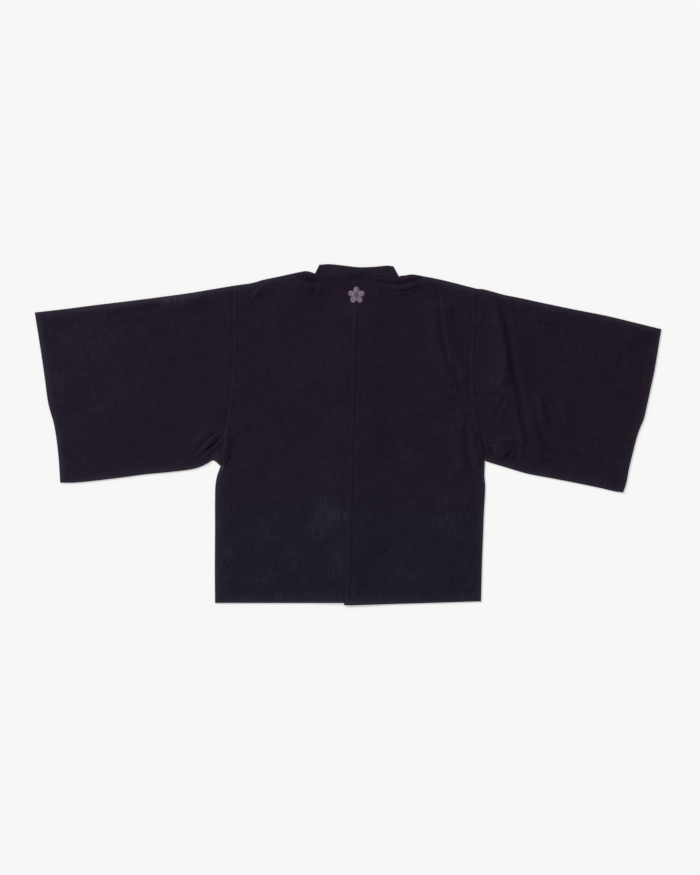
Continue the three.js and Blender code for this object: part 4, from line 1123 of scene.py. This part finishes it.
def flower_base(x, y):
    """The backs' outer side, bridged over the row of stitches that the flower covers."""
    away, hand = near(x, y, smooth(CENTRE_BACK, 4))[:2]
    return back_outside(x, y) + np.where(hand > 0, 0.3 * bell(away, FELL, 1.3), 0)


def flower_point(angle, reach):
    return FLOWER["x"] + reach * np.sin(angle), FLOWER["y"] + reach * np.cos(angle)


spokes = np.linspace(0, math.tau, 200, endpoint=False)[:, None]
shares = np.array([0.02, 0.2, 0.4, 0.6, 0.75, 0.87, 0.94, 0.98, 1.0])
reach = petal_edge(spokes) * shares
px, py = flower_point(spokes, reach)
ground = flower_base(px, py)
between_petals = (spokes % PETAL_TURN - PETAL_TURN / 2) * reach
pad = 0.15 + 0.6 * rounded(petal_edge(spokes) - reach, 4.0) - 0.35 * bell(between_petals, 0, 1.1)
top = np.stack([px, py, ground + np.maximum(pad, 0.12)], 2)
bottom = np.stack([px, py, ground - 0.35], 2)
ring = np.concatenate([top, bottom[:, ::-1]], 1)
around, round_ = ring.shape[:2]
at = numbered(around, round_)
ahead = np.roll(at, -1, axis=0)
quads = np.stack([at[:, :-1], ahead[:, :-1], ahead[:, 1:], at[:, 1:]], 2).reshape(-1, 4)
quads = np.concatenate([quads, np.stack([at[:, -1], ahead[:, -1], ahead[:, 0], at[:, 0]], 1)])
padding = cloth_mesh("embroidered_flower_padding", ring.reshape(-1, 3), quads, ring[..., :2].reshape(-1, 2),
                     np.zeros(ring.shape[0] * ring.shape[1]))
MAUVE = (0.105, 0.070, 0.110), (0.235, 0.170, 0.245)
# the padding: the same thread drawn darker, as painted shade between and under the satin threads
MAUVE_SHADED = (0.045, 0.030, 0.048), (0.08, 0.056, 0.084)
mauve = thread_material("dusty mauve embroidery thread", *MAUVE, 700.0, 0.3)
mauve_shaded = thread_material("dusty mauve padding thread", *MAUVE_SHADED, 700.0, 0.3)
padding.data.materials.append(mauve_shaded)
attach(padding, "root")
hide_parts("embroidered_flower")

threads, outline = [], []
for petal in range(FLOWER["petals"]):
    axis = petal * PETAL_TURN
    for hand in (-1, 1):
        for t in np.linspace(0, 1, SATIN_THREADS):
            end_angle = hand * (PETAL_TURN / 2) * (1 - t) ** 0.9 * 0.97
            start_reach = 3.2 + (FLOWER["radius"] - 5.4) * t**1.1
            start = np.array([math.sin(axis), math.cos(axis)]) * start_reach
            end_reach = petal_edge(end_angle) - 0.3
            end = np.array([math.sin(axis + end_angle), math.cos(axis + end_angle)]) * end_reach
            share = np.linspace(0, 1, 6)
            flat = start + (end - start) * share[:, None] + (FLOWER["x"], FLOWER["y"])
            # each thread rises over the padding and dives at the petal's edge
            crown = 0.5 + 0.42 * np.sin(math.pi * np.clip(share * 0.85 + 0.1, 0, 1)) - 0.42 * share ** 4
            threads.append(row_on(flat, flower_base, crown))
edge_at = np.linspace(0, math.tau, 241)
for phase in (0, math.pi):
    twist = edge_at * 60 + phase
    x, y = flower_point(edge_at, petal_edge(edge_at) + 0.22 * np.cos(twist))
    outline.append(np.stack([x, y, flower_base(x, y) + 0.38 + 0.2 * np.sin(twist)], 1))
strands = grown("flower_satin_threads", threads, STRANDS, Thickness=0.00052, Material=mauve)
cord = grown("flower_outline_threads", outline, STRANDS, Thickness=0.0005, Material=mauve)
knots = []
coil = np.linspace(0, 2 * math.tau, 22)
size = 0.55 * (1 - 0.35 * coil / (2 * math.tau))
for radius, count in ((0.0, 1), (1.7, 6)):
    for k in range(count):
        cx = FLOWER["x"] + radius * math.cos(k * math.pi / 3)
        cy = FLOWER["y"] + radius * math.sin(k * math.pi / 3)
        z = back_outside(np.array([cx]), np.array([cy]))[0] + 0.75 + 0.5 * coil / (2 * math.tau)
        knots.append(np.stack([cx + size * np.cos(coil), cy + size * np.sin(coil), z], 1))
knots = grown("flower_knots", knots, STRANDS, Thickness=0.00055, Material=mauve)
for piece in (strands, cord, knots):
    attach(piece, "root")


# ---- Floor, light and camera --------------------------------------------------------------------
# A pale floor under the tunic, a broad soft key light from the upper left with an even fill from all
# round, and the camera straight above.
floor_mesh = bpy.data.meshes.new("floor")
floor_mesh.from_pydata([(x, y, -0.0006) for x, y in ((-5, -5), (5, -5), (5, 5), (-5, 5))], [], [(0, 1, 2, 3)])
floor = linked("floor", floor_mesh)
paper = material("pale floor", {
    "Base Color": (0.45, 0.45, 0.45, 1), "Roughness": 1.0, "Specular IOR Level": 0.0,
    "Emission Color": (1, 1, 1, 1), "Emission Strength": 0.444})[0]
floor_mesh.materials.append(paper)

world = bpy.data.worlds.new("studio")
world.use_nodes = True
world.node_tree.nodes["Background"].inputs["Color"].default_value = (1, 1, 1, 1)
world.node_tree.nodes["Background"].inputs["Strength"].default_value = 0.42
bpy.context.scene.world = world

lamp = bpy.data.lights.new("key", "SUN")
lamp.energy = 3.79
lamp.angle = math.radians(26)
key = linked("key", lamp)
key.rotation_euler = (math.radians(-36), math.radians(-47), 0)

camera = bpy.data.cameras.new("camera")
camera.lens = 85
camera.sensor_width = 36
view = linked("camera", camera)
view.location = (0.0044, -0.00605, 4.545)
bpy.context.scene.camera = view
bpy.context.scene.view_settings.view_transform = "Standard"
